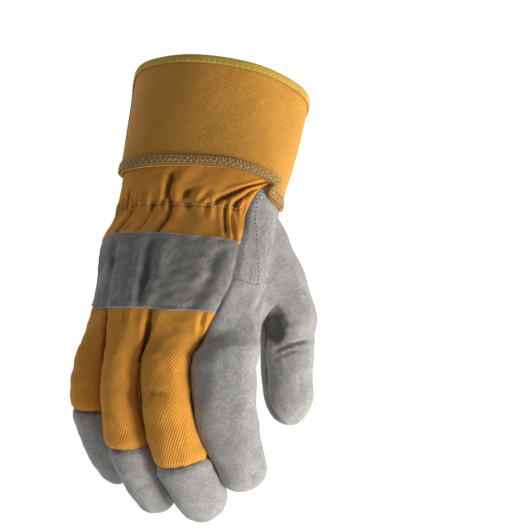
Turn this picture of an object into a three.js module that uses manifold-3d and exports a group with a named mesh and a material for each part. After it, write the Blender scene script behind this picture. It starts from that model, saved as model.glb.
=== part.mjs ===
// A rigger glove for the right hand, lying palm down on the tips of its curled fingers and its cuff.
// Millimetres. X runs from the little finger's side to the thumb's side, Y from the fingertips to the
// cuff's hem, and Z from the palm to the back of the hand.
import * as THREE from 'three';
import Module from 'manifold-3d';

const wasm = await Module();
wasm.setup();

// Walls and gaps
const LEATHER = 1.5;
const CLOTH = 1.2;
const CANVAS = 1.4;
const TRIM = 1.0;
const GAP = 0.3;
// Where two folded pieces meet in a sharp corner, their edges stand further apart
const CORNER_STEP = 0.5;
const MITRE_LIMIT = 1.5;

// Driving sizes of the hand
const PALM_WIDTH = 100;
const HAND_LENGTH = 110;
const HEM_HEIGHT = 78;
const KNUCKLE_LINE = -0.98 * HAND_LENGTH;

// Columns of one half finger; the hand has four fingers' columns on its back and four on its palm
const PER_FINGER = 6;
const BACK_COLUMNS = 4 * PER_FINGER;
const ALL_COLUMNS = 8 * PER_FINGER;
const SEAM_COLUMN = 3 * PER_FINGER;

// Cross-sections of cuff and hand. along: share of HAND_LENGTH from the wrist seam, + to the hem.
// ulnar and radial edges: shares of PALM_WIDTH. top, bottom and the two edges' heights: shares of
// HEM_HEIGHT. back and palm roundness: power of the superellipse.
const HAND = {
  along: [0.6, 0.36, 0.13, 0, -0.21, -0.38, -0.73, -0.98],
  ulnar: [-0.445, -0.44, -0.44, -0.44, -0.445, -0.485, -0.445, -0.44],
  radial: [0.545, 0.525, 0.495, 0.48, 0.49, 0.51, 0.49, 0.49],
  top: [0.985, 0.9, 0.81, 0.77, 0.72, 0.78, 0.82, 0.77],
  bottom: [0.03, 0.055, 0.1, 0.13, 0.15, 0.18, 0.31, 0.42],
  ulnarHeight: [0.49, 0.46, 0.44, 0.44, 0.44, 0.46, 0.49, 0.56],
  radialHeight: [0.51, 0.5, 0.49, 0.49, 0.46, 0.46, 0.51, 0.59],
  backRound: [2.1, 2.2, 2.5, 2.7, 2.6, 2.5, 2.4, 2.3],
  palmRound: [2.1, 2.2, 2.4, 2.4, 2.4, 2.4, 2.4, 2.3],
};

// The seam between the back panels and the leather, as a share of the way across the back
const BACK_SEAM = {
  along: [0.3, 0.02, -0.03, -0.08, -0.2, -0.4, -0.6, -0.77, -0.88, -0.98],
  across: [0.75, 0.93, 0.85, 0.77, 0.72, 0.715, 0.72, 0.72, 0.73, 0.75],
};

// How far a row of the hand leans towards the fingers at the thumb's side, as a share of PALM_WIDTH
const LEAN = {
  along: [0.6, 0.2, 0, -0.365, -0.73, -0.98],
  lean: [0.04, 0.02, 0, 0.015, 0.02, 0],
};

// Points between the fingers on the knuckle line, from the little finger's edge to the index's edge,
// in shares of PALM_WIDTH
const KNUCKLES = [
  [-0.46, -0.98, 0.37],
  [-0.31, -1.1, 0.44],
  [-0.1, -1.1, 0.48],
  [0.17, -1.05, 0.48],
  [0.52, -0.96, 0.43],
];

// Fingers. length, half width, and back and front half heights: shares of PALM_WIDTH. along: share of
// the length. pitch, yaw and roll in degrees. seam: share of the length where the tip's leather starts.
const FINGERS = [
  {
    name: 'little', length: 0.75, seam: 0.4,
    along: [0, 0.25, 0.5, 0.75, 1],
    pitch: [14, 24, 34, 46, 56],
    yaw: [-15, 0, 20, 34, 42],
    roll: [-20, -20, -20, -20, -20],
    half: [0.1, 0.101, 0.106, 0.106, 0.104],
    back: [0.12, 0.13, 0.12, 0.12, 0.12],
    front: [0.13, 0.13, 0.12, 0.115, 0.11],
  },
  {
    name: 'ring', length: 0.88, seam: 0.505,
    along: [0, 0.25, 0.5, 0.75, 1],
    pitch: [8, 18, 34, 52, 66],
    yaw: [-6, 9, 22, 33, 42],
    roll: [-10, -10, -10, -10, -10],
    half: [0.102, 0.104, 0.113, 0.113, 0.112],
    back: [0.13, 0.13, 0.125, 0.125, 0.12],
    front: [0.135, 0.13, 0.125, 0.12, 0.11],
  },
  {
    name: 'middle', length: 0.93, seam: 0.59,
    along: [0, 0.25, 0.5, 0.75, 1],
    pitch: [6, 15, 33, 50, 62],
    yaw: [3, 11, 22, 34, 45],
    roll: [0, 0, 0, 0, 0],
    half: [0.127, 0.128, 0.133, 0.137, 0.13],
    back: [0.13, 0.135, 0.13, 0.13, 0.12],
    front: [0.135, 0.13, 0.125, 0.12, 0.11],
  },
  {
    name: 'index', length: 0.76, seam: 0.6,
    along: [0, 0.25, 0.5, 0.75, 1],
    pitch: [10, 18, 32, 46, 60],
    yaw: [8, 8, 11, 17, 21],
    roll: [8, 8, 8, 8, 8],
    half: [0.155, 0.151, 0.145, 0.136, 0.127],
    back: [0.13, 0.135, 0.13, 0.13, 0.12],
    front: [0.14, 0.13, 0.125, 0.12, 0.11],
  },
];
const DOME = 0.16;
const TIP_ROUND = 2.3;
const FINGER_ROUND = 2.3;
// Over this share of its length a finger turns from its place in the hand into a round tube
const ROOT_EASE = 0.13;
// A finger's rings lie further along it on the thumb's side, by this share of its length
const RING_LEAN = 0.07;

// Where the thumb's centre line starts, in shares of PALM_WIDTH
const THUMB_START = [0.49, -0.31, 0.278];
const THUMB = {
  length: 0.99,
  along: [0, 0.25, 0.5, 0.75, 1],
  pitch: [15, 13, 11, 8, 5],
  yaw: [20, 13, 5, 8, 18],
  roll: [40, 40, 40, 38, 36],
  half: [0.28, 0.21, 0.15, 0.136, 0.118],
  back: [0.22, 0.18, 0.145, 0.13, 0.12],
  front: [0.2, 0.17, 0.14, 0.13, 0.12],
};
const THUMB_DOME = 0.17;
const THUMB_ROUND = 2.2;
// The thumb's root: a loop on the thumb's side of the hand. along and reach: shares of HAND_LENGTH.
// across and spread: shares of the way across, 0 at the side's edge and - on the palm. inner: the
// share of the loop that it first heads for. swell: how far its wrist side stands out
const ROOT = { along: -0.436, reach: 0.336, across: -0.115, spread: 0.205, inner: 0.93, swell: 0.6 };
const THUMB_COLUMNS = 16;
const ROOT_ROWS = 6;
const ROOT_LEATHER_ROWS = 3;
const ROOT_SHARE = 0.42;
const ROOT_FULLNESS = 0.8;
// How far the palm's leather keeps from the point between index and middle finger
const CROTCH_RADIUS = 2.4;
// The plug that opens the palm's leather for the thumb: its share of the loop, its depth and height
const PLUG = { scale: 1.02, inward: 8, outward: 24 };

// Where the leather of the tips and the thumb lies flattened on the floor
const FLOOR = -1.4;

const lerp = THREE.MathUtils.lerp;
const clamp = THREE.MathUtils.clamp;
const radians = THREE.MathUtils.degToRad;
const vector = (x, y, z) => new THREE.Vector3(x, y, z);
const range = (from, to) => Array.from({ length: to - from + 1 }, (_, i) => from + i);
const evenShares = (count) => Array.from({ length: count + 1 }, (_, i) => i / count);

// A smooth curve through the points that never overshoots them
function curve(xs, ys) {
  if (xs[0] > xs[xs.length - 1]) {
    xs = [...xs].reverse();
    ys = [...ys].reverse();
  }
  const steps = xs.slice(1).map((x, i) => x - xs[i]);
  const slopes = steps.map((step, i) => (ys[i + 1] - ys[i]) / step);
  const tangents = xs.map((x, i) => {
    if (i === 0) return slopes[0];
    if (i === xs.length - 1) return slopes[i - 1];
    if (slopes[i - 1] * slopes[i] <= 0) return 0;
    const before = 2 * steps[i] + steps[i - 1];
    const after = steps[i] + 2 * steps[i - 1];
    return (before + after) / (before / slopes[i - 1] + after / slopes[i]);
  });
  return (x) => {
    const at = clamp(x, xs[0], xs[xs.length - 1]);
    let i = 0;
    while (i < steps.length - 1 && at > xs[i + 1]) i += 1;
    const t = (at - xs[i]) / steps[i];
    const rise = steps[i] * (tangents[i] * t * (1 - t) ** 2 - tangents[i + 1] * t * t * (1 - t));
    return lerp(ys[i], ys[i + 1], t * t * (3 - 2 * t)) + rise;
  };
}

// A table's columns as curves over its along column
function curvesOf(table) {
  const columns = Object.entries(table).filter(([name, value]) => name !== 'along' && Array.isArray(value));
  return Object.fromEntries(columns.map(([name, value]) => [name, curve(table.along, value)]));
}

const handCurves = curvesOf(HAND);
const seamCurve = curve(BACK_SEAM.along, BACK_SEAM.across);
const leanCurve = curve(LEAN.along, LEAN.lean);

// A point on a cross-section of the hand. across: 0 at the little finger's edge, 1 at the thumb's
// edge. side: 1 on the back, -1 on the palm.
function sectionPoint(across, y, side) {
  const along = y / HAND_LENGTH;
  const left = handCurves.ulnar(along) * PALM_WIDTH;
  const right = handCurves.radial(along) * PALM_WIDTH;
  const ulnar = handCurves.ulnarHeight(along) * HEM_HEIGHT;
  const radial = handCurves.radialHeight(along) * HEM_HEIGHT;
  const far = (side > 0 ? handCurves.top(along) : handCurves.bottom(along)) * HEM_HEIGHT;
  const power = 2 / (side > 0 ? handCurves.backRound(along) : handCurves.palmRound(along));
  const angle = Math.PI * (1 - across);
  const cosine = Math.cos(angle);
  const out = Math.sign(cosine) * Math.abs(cosine) ** power;
  const rise = Math.abs(Math.sin(angle)) ** power;
  const edge = lerp(ulnar, radial, (out + 1) / 2);
  return vector(lerp(left, right, (out + 1) / 2), y, edge + (far - (ulnar + radial) / 2) * rise);
}

// Where a column lies: its side of the hand and its share of the way across
function columnPlace(column, y) {
  const seam = seamCurve(y / HAND_LENGTH);
  if (column <= SEAM_COLUMN) return { side: 1, across: (column / SEAM_COLUMN) * seam };
  if (column <= BACK_COLUMNS) {
    return { side: 1, across: lerp(seam, 1, (column - SEAM_COLUMN) / PER_FINGER) };
  }
  return { side: -1, across: (ALL_COLUMNS - column) / BACK_COLUMNS };
}

function directionOf(pitch, yaw) {
  return vector(Math.sin(yaw) * Math.cos(pitch), -Math.cos(yaw) * Math.cos(pitch), -Math.sin(pitch));
}

// The centre line of a finger or thumb, stepped along its pitch and yaw
function centreLine(digit, start, steps = 60) {
  const length = digit.length * PALM_WIDTH;
  const pitch = curve(digit.along, digit.pitch);
  const yaw = curve(digit.along, digit.yaw);
  const points = [start.clone()];
  for (let i = 0; i < steps; i += 1) {
    const middle = (i + 0.5) / steps;
    const direction = directionOf(radians(pitch(middle)), radians(yaw(middle)));
    points.push(points[i].clone().addScaledVector(direction, length / steps));
  }
  return (share) => {
    const place = clamp(share, 0, 1) * steps;
    const i = Math.min(Math.floor(place), steps - 1);
    return points[i].clone().lerp(points[i + 1], place - i);
  };
}

function onFloor(point) {
  return point.setZ(Math.max(point.z, FLOOR));
}

// Rounds a fingertip off over the last share of its length
function domeScale(share, dome) {
  const into = clamp((share - (1 - dome)) / dome, 0, 1);
  return (1 - into ** TIP_ROUND) ** (1 / TIP_ROUND);
}

function fingerSurface(finger, index) {
  const from = vector(...KNUCKLES[index]).multiplyScalar(PALM_WIDTH);
  const to = vector(...KNUCKLES[index + 1]).multiplyScalar(PALM_WIDTH);
  const start = from.clone().lerp(to, 0.5);
  const rootWidth = to.clone().sub(from);
  const rootHalf = rootWidth.length() / 2;
  rootWidth.normalize();
  const line = centreLine(finger, start);
  const at = curvesOf(finger);
  // around: 0 at the little finger's side, 1 at the thumb's side
  return (level, around, side) => {
    const share = level + RING_LEAN * (around - 0.5) * Math.sin(Math.PI * level);
    const yaw = radians(at.yaw(share));
    const roll = radians(at.roll(share));
    const direction = directionOf(radians(at.pitch(share)), yaw);
    const wide = vector(Math.cos(roll) * Math.cos(yaw), Math.cos(roll) * Math.sin(yaw), -Math.sin(roll));
    const ease = clamp(1 - share / ROOT_EASE, 0, 1);
    const root = ease * ease * (3 - 2 * ease);
    wide.lerp(rootWidth, root);
    wide.addScaledVector(direction, -wide.dot(direction) * (1 - root)).normalize();
    const up = direction.clone().cross(wide).normalize();
    const dome = domeScale(share, DOME);
    const half = lerp(at.half(share) * PALM_WIDTH, rootHalf, root) * dome;
    const high = (side > 0 ? at.back(share) : -at.front(share)) * PALM_WIDTH * dome;
    const angle = Math.PI * (1 - around);
    const power = 2 / FINGER_ROUND;
    const out = Math.sign(Math.cos(angle)) * Math.abs(Math.cos(angle)) ** power;
    const rise = Math.abs(Math.sin(angle)) ** power;
    return onFloor(line(share).addScaledVector(wide, half * out).addScaledVector(up, high * rise));
  };
}

const fingerSurfaces = FINGERS.map(fingerSurface);

function rootPoint(column) {
  const mirrored = column <= BACK_COLUMNS ? column : ALL_COLUMNS - column;
  const index = clamp(Math.floor(mirrored / PER_FINGER), 0, 3);
  const side = column <= BACK_COLUMNS ? 1 : -1;
  return fingerSurfaces[index](0, mirrored / PER_FINGER - index, side);
}

// A point of the hand's outer surface; near the knuckle line it turns into the four fingers' roots
const BLEND_START = -0.56 * HAND_LENGTH;
function handPoint(column, y) {
  const { side, across } = columnPlace(column, y);
  const point = sectionPoint(across, y, side);
  point.y -= leanCurve(y / HAND_LENGTH) * 2 * point.x;
  const blend = clamp((BLEND_START - y) / (BLEND_START - KNUCKLE_LINE), 0, 1);
  if (blend > 0) {
    const root = rootPoint(column);
    point.x = lerp(point.x, root.x, blend ** 1.5);
    point.y += (root.y - KNUCKLE_LINE) * blend;
    point.z = lerp(point.z, root.z, blend ** 3);
  }
  return point;
}

function handNormal(column, y) {
  const step = 0.05;
  const around = handPoint(column + step, y).sub(handPoint(column - step, y));
  const along = handPoint(column, y + 1).sub(handPoint(column, y - 1));
  return around.cross(along).normalize();
}

// A surface of numbered points with triangles that face outwards
class Sheet {
  constructor() {
    this.points = [];
    this.faces = [];
  }

  add(point) {
    this.points.push(point);
    return this.points.length - 1;
  }

  // Joins two rows of point numbers with triangles
  strip(row, next, piece, fromColumn = 0, toColumn = row.length - 1) {
    for (let i = fromColumn; i < toColumn; i += 1) {
      this.face(row[i], next[i], next[i + 1], piece);
      this.face(row[i], next[i + 1], row[i + 1], piece);
    }
  }

  face(a, b, c, piece) {
    if (a !== b && b !== c && c !== a) this.faces.push({ corners: [a, b, c], piece });
  }

  // The closed surface of the points from one number on
  geometry(first = 0) {
    const positions = new Float32Array(this.points.slice(first).flatMap((point) => point.toArray()));
    const triangles = this.faces.flatMap(({ corners }) => corners.map((corner) => corner - first));
    return closedGeometry(positions, triangles);
  }

  // The mean direction of the triangles around each point
  normals() {
    const sums = this.points.map(() => vector(0, 0, 0));
    for (const { corners } of this.faces) {
      const [a, b, c] = corners.map((corner) => this.points[corner]);
      const cross = b.clone().sub(a).cross(c.clone().sub(a));
      for (const corner of corners) sums[corner].add(cross);
    }
    return sums.map((sum) => sum.normalize());
  }
}

// The closed wall of one piece of a sheet: from outward to inward of the surface, with rims at its
// edges, which step back by half a seam's gap
function wall(sheet, normals, piece, outward, inward, back = GAP / 2) {
  const faces = sheet.faces.filter((face) => piece === null || face.piece === piece);
  const numbers = new Map();
  const edges = new Map();
  for (const { corners } of faces) {
    corners.forEach((corner, i) => {
      if (!numbers.has(corner)) numbers.set(corner, numbers.size);
      edges.set(`${corner},${corners[(i + 1) % 3]}`, corners);
    });
  }
  const rims = [...edges.keys()].map((key) => key.split(',').map(Number));
  const open = rims.filter(([a, b]) => !edges.has(`${b},${a}`));
  const steps = new Map();
  for (const [a, b] of open) {
    const [p, q, r] = edges.get(`${a},${b}`).map((corner) => sheet.points[corner]);
    const facing = q.clone().sub(p).cross(r.clone().sub(p)).normalize();
    const inside = facing.cross(sheet.points[b].clone().sub(sheet.points[a])).normalize();
    for (const end of [a, b]) {
      if (!steps.has(end)) steps.set(end, vector(0, 0, 0));
      steps.get(end).add(inside);
    }
  }
  const count = numbers.size;
  const positions = new Float32Array(count * 6);
  for (const [corner, number] of numbers) {
    const point = sheet.points[corner].clone();
    if (steps.has(corner)) {
      const step = steps.get(corner);
      const mitre = Math.min(2 / Math.max(step.length(), 1e-6), MITRE_LIMIT);
      point.addScaledVector(step.normalize(), back * mitre);
    }
    const outer = point.clone().addScaledVector(normals[corner], outward);
    const inner = point.clone().addScaledVector(normals[corner], -inward);
    outer.toArray(positions, number * 3);
    inner.toArray(positions, (number + count) * 3);
  }
  const triangles = [];
  for (const { corners } of faces) {
    const [a, b, c] = corners.map((corner) => numbers.get(corner));
    triangles.push(a, b, c, a + count, c + count, b + count);
  }
  for (const [from, to] of open) {
    const a = numbers.get(from);
    const b = numbers.get(to);
    triangles.push(b, a, a + count, b, a + count, b + count);
  }
  return closedGeometry(positions, triangles);
}

function closedGeometry(positions, triangles) {
  const geometry = new THREE.BufferGeometry();
  geometry.setAttribute('position', new THREE.BufferAttribute(positions, 3));
  geometry.setIndex(triangles);
  return geometry;
}

function solidOf(geometry) {
  const vertProperties = new Float32Array(geometry.attributes.position.array);
  const triVerts = new Uint32Array(geometry.index.array);
  return new wasm.Manifold(new wasm.Mesh({ numProp: 3, vertProperties, triVerts }));
}

function geometryOf(solid) {
  const mesh = solid.getMesh();
  return closedGeometry(new Float32Array(mesh.vertProperties), [...mesh.triVerts]);
}

// Rows of the hand from inside the cuff to the knuckle line
const HAND_ROWS = [0.07, 0.01, -0.06, -0.13, -0.21, -0.29, -0.37, -0.465, -0.56, -0.655, -0.745, -0.81,
  -0.87, -0.93, -0.98].map((share) => share * HAND_LENGTH);
const STRAP_TOP_ROW = 6;
const STRAP_END_ROW = 10;
const FRONT_ROW = 13;
// How deep each of the top rows is tucked in under the cuff
const TUCKS = [1.0, 0.8];
const GATHER_DEPTH = 0.7;

// The top rows are tucked in under the cuff, and the back's cloth is gathered below it
function skinPoint(column, row) {
  const y = HAND_ROWS[row];
  const tuck = TUCKS[row] ?? 0;
  const gathered = column > 0 && column < SEAM_COLUMN && row < STRAP_TOP_ROW;
  const fade = Math.sin((Math.PI * row) / STRAP_TOP_ROW);
  const fold = gathered ? GATHER_DEPTH * fade * (column % 2 === 0 ? 1 : -1) : 0;
  const point = handPoint(column, y);
  if (tuck === 0 && fold === 0) return point;
  return point.addScaledVector(handNormal(column, y), fold - tuck);
}

function handPiece(column, row) {
  if (column < SEAM_COLUMN) {
    if (row < STRAP_TOP_ROW) return 'back_gather';
    return row < STRAP_END_ROW ? 'knuckle_strap' : 'back_cloth';
  }
  const underMiddleAndRing = column >= ALL_COLUMNS - 3 * PER_FINGER && column < ALL_COLUMNS - PER_FINGER;
  return underMiddleAndRing && row >= FRONT_ROW ? 'middle_ring_front' : 'palm_leather';
}

// A finger's rings, as shares of its length: five strips of the body up to the seam, then the tip
const SEAM_STRIP = 5;
function fingerShares(seam) {
  const body = [0, 0.13, 0.32, 0.55, 0.78, 1].map((share) => share * seam);
  const tip = [0.5, 1].map((share) => lerp(seam, 1 - DOME, share));
  const end = [1, 2, 3, 4].map((step) => 1 - DOME * (1 - Math.sin((Math.PI * step) / 8)));
  return [...body, ...tip, ...end];
}

function fingerPiece(index, onBack, strip) {
  if (index === 3) return 'index_finger';
  if (!onBack) return index === 0 ? 'little_front' : 'middle_ring_front';
  return strip < SEAM_STRIP ? 'back_cloth' : `${FINGERS[index].name}_tip`;
}

// The whole skin of hand and fingers, before it is parted into its pieces
function makeSkin() {
  const sheet = new Sheet();
  const rows = HAND_ROWS.map((_, row) => {
    const ring = range(0, ALL_COLUMNS - 1).map((column) => sheet.add(skinPoint(column, row)));
    return [...ring, ring[0]];
  });
  // Back and palm meet in one point between two fingers
  const last = rows[rows.length - 1];
  for (const finger of [1, 2, 3]) last[ALL_COLUMNS - finger * PER_FINGER] = last[finger * PER_FINGER];
  for (let row = 0; row < rows.length - 1; row += 1) {
    for (let column = 0; column < ALL_COLUMNS; column += 1) {
      sheet.strip(rows[row], rows[row + 1], handPiece(column, row), column, column + 1);
    }
  }
  FINGERS.forEach((finger, index) => {
    const shares = fingerShares(finger.seam);
    const first = index * PER_FINGER;
    const backRing = last.slice(first, first + PER_FINGER + 1);
    const frontRing = last.slice(ALL_COLUMNS - first - PER_FINGER, ALL_COLUMNS - first + 1);
    let before = [...backRing, ...frontRing.slice(1)];
    shares.slice(1).forEach((share, strip) => {
      const ring = [];
      if (strip === shares.length - 2) {
        ring.push(...new Array(2 * PER_FINGER + 1).fill(sheet.add(fingerSurfaces[index](1, 0, 1))));
      } else {
        for (let i = 0; i < 2 * PER_FINGER; i += 1) {
          const onBack = i < PER_FINGER;
          const around = onBack ? i / PER_FINGER : 2 - i / PER_FINGER;
          ring.push(sheet.add(fingerSurfaces[index](share, around, onBack ? 1 : -1)));
        }
        ring.push(ring[0]);
      }
      sheet.strip(before, ring, fingerPiece(index, true, strip), 0, PER_FINGER);
      sheet.strip(before, ring, fingerPiece(index, false, strip), PER_FINGER, 2 * PER_FINGER);
      before = ring;
    });
  });
  return sheet;
}

const thumbCurves = curvesOf(THUMB);
const thumbLine = centreLine(THUMB, vector(...THUMB_START).multiplyScalar(PALM_WIDTH));

// The directions along, across and out of the thumb at a share of its length
function thumbAt(share) {
  const yaw = radians(thumbCurves.yaw(share));
  const roll = radians(thumbCurves.roll(share));
  const direction = directionOf(radians(thumbCurves.pitch(share)), yaw);
  const level = vector(Math.cos(yaw), Math.sin(yaw), 0);
  const up = level.clone().cross(direction).normalize();
  if (up.z < 0) up.negate();
  const wide = level.clone().multiplyScalar(Math.cos(roll)).addScaledVector(up, -Math.sin(roll));
  const high = level.clone().multiplyScalar(Math.sin(roll)).addScaledVector(up, Math.cos(roll));
  return { direction, wide, high };
}
// around: 0 at the index finger's side, a quarter at the back
function thumbPoint(share, around) {
  const { wide, high } = thumbAt(share);
  const scale = PALM_WIDTH * domeScale(share, THUMB_DOME);
  const angle = 2 * Math.PI * around;
  const power = 2 / THUMB_ROUND;
  const out = -Math.sign(Math.cos(angle)) * Math.abs(Math.cos(angle)) ** power;
  const rise = Math.sign(Math.sin(angle)) * Math.abs(Math.sin(angle)) ** power;
  const tall = rise >= 0 ? thumbCurves.back(share) : thumbCurves.front(share);
  const point = thumbLine(share)
    .addScaledVector(wide, thumbCurves.half(share) * scale * out)
    .addScaledVector(high, tall * scale * rise);
  return onFloor(point);
}

function sidePoint(across, y) {
  return sectionPoint(1 - Math.abs(across), y, across >= 0 ? 1 : -1);
}

// The root loop on the hand's side, and the way from it towards the loop's middle
function loopPoint(around, scale = 1) {
  const angle = 2 * Math.PI * around;
  const across = ROOT.across + ROOT.spread * scale * Math.sin(angle);
  const y = (ROOT.along - ROOT.reach * scale * Math.cos(angle)) * HAND_LENGTH;
  return sidePoint(across, y);
}

function rootRow(around, step) {
  const t = step / ROOT_ROWS;
  const from = loopPoint(around);
  const swell = ROOT.swell * Math.max(-Math.cos(2 * Math.PI * around), 0);
  const inward = loopPoint(around, ROOT.inner).sub(from).normalize().add(vector(swell, 0, 0)).normalize();
  const to = thumbPoint(ROOT_SHARE, around);
  const { direction } = thumbAt(ROOT_SHARE);
  const reach = from.distanceTo(to) * ROOT_FULLNESS;
  return from.multiplyScalar(2 * t ** 3 - 3 * t ** 2 + 1)
    .addScaledVector(inward, reach * (t ** 3 - 2 * t ** 2 + t))
    .addScaledVector(to, -2 * t ** 3 + 3 * t ** 2)
    .addScaledVector(direction, reach * (t ** 3 - t ** 2));
}

function makeThumb() {
  const sheet = new Sheet();
  const rings = [];
  const ringOf = (pointAt) => {
    const ring = [];
    for (let i = 0; i < THUMB_COLUMNS; i += 1) ring.push(sheet.add(pointAt(i / THUMB_COLUMNS)));
    ring.push(ring[0]);
    rings.push(ring);
  };
  for (let step = 0; step < ROOT_ROWS; step += 1) ringOf((around) => rootRow(around, step));
  const body = [0, 0.33, 0.67, 1].map((share) => lerp(ROOT_SHARE, 1 - THUMB_DOME, share));
  const end = [1, 2, 3].map((step) => 1 - THUMB_DOME * (1 - Math.sin((Math.PI * step) / 8)));
  for (const share of [...body, ...end]) ringOf((around) => thumbPoint(share, around));
  const tip = sheet.add(thumbPoint(1, 0));
  rings.push(new Array(THUMB_COLUMNS + 1).fill(tip));
  for (let row = 0; row < rings.length - 1; row += 1) {
    const half = THUMB_COLUMNS / 2;
    const leather = row < ROOT_LEATHER_ROWS;
    sheet.strip(rings[row], rings[row + 1], leather ? 'root' : 'thumb_back', 0, half);
    sheet.strip(rings[row], rings[row + 1], leather ? 'root' : 'thumb_front', half, 2 * half);
  }
  return sheet;
}

// A plug through the hand's side, which cuts the thumb's opening in the palm's leather
function thumbPlug() {
  const ring = [];
  for (let i = 0; i < THUMB_COLUMNS; i += 1) ring.push(loopPoint(i / THUMB_COLUMNS, PLUG.scale));
  const middle = ring.reduce((sum, point) => sum.add(point), vector(0, 0, 0)).divideScalar(ring.length);
  const crown = sidePoint(ROOT.across, ROOT.along * HAND_LENGTH);
  const outward = crown.clone().sub(middle).setY(0).normalize();
  const sheet = new Sheet();
  const move = (point, distance) => sheet.add(point.clone().addScaledVector(outward, distance));
  const inner = ring.map((point) => move(point, -PLUG.inward));
  const outer = ring.map((point) => move(point, PLUG.outward));
  const low = move(middle, -PLUG.inward);
  const high = move(middle, PLUG.outward);
  ring.forEach((point, i) => {
    const next = (i + 1) % ring.length;
    sheet.face(inner[i], outer[i], outer[next]);
    sheet.face(inner[i], outer[next], inner[next]);
    sheet.face(low, inner[i], inner[next]);
    sheet.face(high, outer[next], outer[i]);
  });
  return solidOf(sheet.geometry());
}

// The cuff: one strip of canvas around the wrist, open in a slit at the little finger's edge
const HEM = 0.575 * HAND_LENGTH;
const CUFF_OFFSET = 1.7;
const SLIT = 0.012;
const CORNER = 15;
const CUFF_ROWS = 7;
// The cuff's lower edge dips at the thumb's edge: full: columns' share that dips, and how fast it ends
const CUFF_DIP = { depth: 0.08 * HAND_LENGTH, full: 1.7, backSlope: 1.1, palmSlope: 2.2 };

function cuffColumn(column) {
  return clamp(column, SLIT * BACK_COLUMNS, ALL_COLUMNS - SLIT * BACK_COLUMNS);
}

function cuffFoot(column) {
  const away = Math.abs(column - BACK_COLUMNS) / PER_FINGER;
  const slope = column > BACK_COLUMNS ? CUFF_DIP.palmSlope : CUFF_DIP.backSlope;
  return -CUFF_DIP.depth * clamp(CUFF_DIP.full - slope * away, 0, 1);
}

// The hem is rounded off at both corners of the slit
function cuffHem(column) {
  const edge = column <= BACK_COLUMNS ? 0 : ALL_COLUMNS;
  const away = handPoint(cuffColumn(column), HEM).distanceTo(handPoint(cuffColumn(edge), HEM));
  const left = clamp(CORNER - away, 0, CORNER);
  return HEM - (CORNER - Math.sqrt(CORNER ** 2 - left ** 2));
}

function cuffPoint(column, share, offset) {
  const place = cuffColumn(column);
  const y = lerp(cuffFoot(column), cuffHem(column), share);
  return handPoint(place, y).addScaledVector(handNormal(place, y), offset);
}

function gridSheet(columns, rows, pointAt) {
  const sheet = new Sheet();
  const grid = rows.map((row) => columns.map((column) => sheet.add(pointAt(column, row))));
  for (let i = 0; i < grid.length - 1; i += 1) sheet.strip(grid[i + 1], grid[i], null);
  return sheet;
}

function gridWall(columns, rows, pointAt, thickness) {
  const sheet = gridSheet(columns, rows, pointAt);
  return wall(sheet, sheet.normals(), null, thickness / 2, thickness / 2);
}

const cuff = gridWall(range(0, ALL_COLUMNS), evenShares(CUFF_ROWS),
  (column, share) => cuffPoint(column, share, CUFF_OFFSET), CANVAS);

// The tape along the cuff's lower edge on the back
const TAPE = { width: 7, above: 0.4 };
const tape = gridWall(range(1, BACK_COLUMNS), [0, 1], (column, share) => {
  const y = cuffFoot(column) + TAPE.above + TAPE.width * share;
  const offset = CUFF_OFFSET + CANVAS / 2 + GAP + TRIM / 2;
  return handPoint(column, y).addScaledVector(handNormal(column, y), offset);
}, TRIM);

// The leather patch over the wrist's inner side: it leaves the palm below the cuff and lies over it
const PATCH = { columns: range(BACK_COLUMNS + 5, ALL_COLUMNS - 2), rows: 5, from: -0.09, to: 0.24 };
const patch = gridWall(PATCH.columns, evenShares(PATCH.rows), (column, share) => {
  const y = lerp(PATCH.from, PATCH.to, share) * HAND_LENGTH;
  const over = CUFF_OFFSET + CANVAS / 2 + GAP + LEATHER / 2;
  const offset = share === 0 ? GAP + LEATHER / 2 : over;
  return handPoint(column, y).addScaledVector(handNormal(column, y), offset);
}, LEATHER);

// The label: a folded tab sewn in the side seam, lying against the palm
const LABEL = { columns: [45, 46, 47, 47.8], rows: 3, from: -0.36, to: -0.12, above: 0.5 };
const label = gridWall(LABEL.columns, evenShares(LABEL.rows), (column, share) => {
  const y = lerp(LABEL.from, LABEL.to, share) * HAND_LENGTH;
  return handPoint(column, y).addScaledVector(handNormal(column, y), LABEL.above + TRIM / 2);
}, TRIM);

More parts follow.
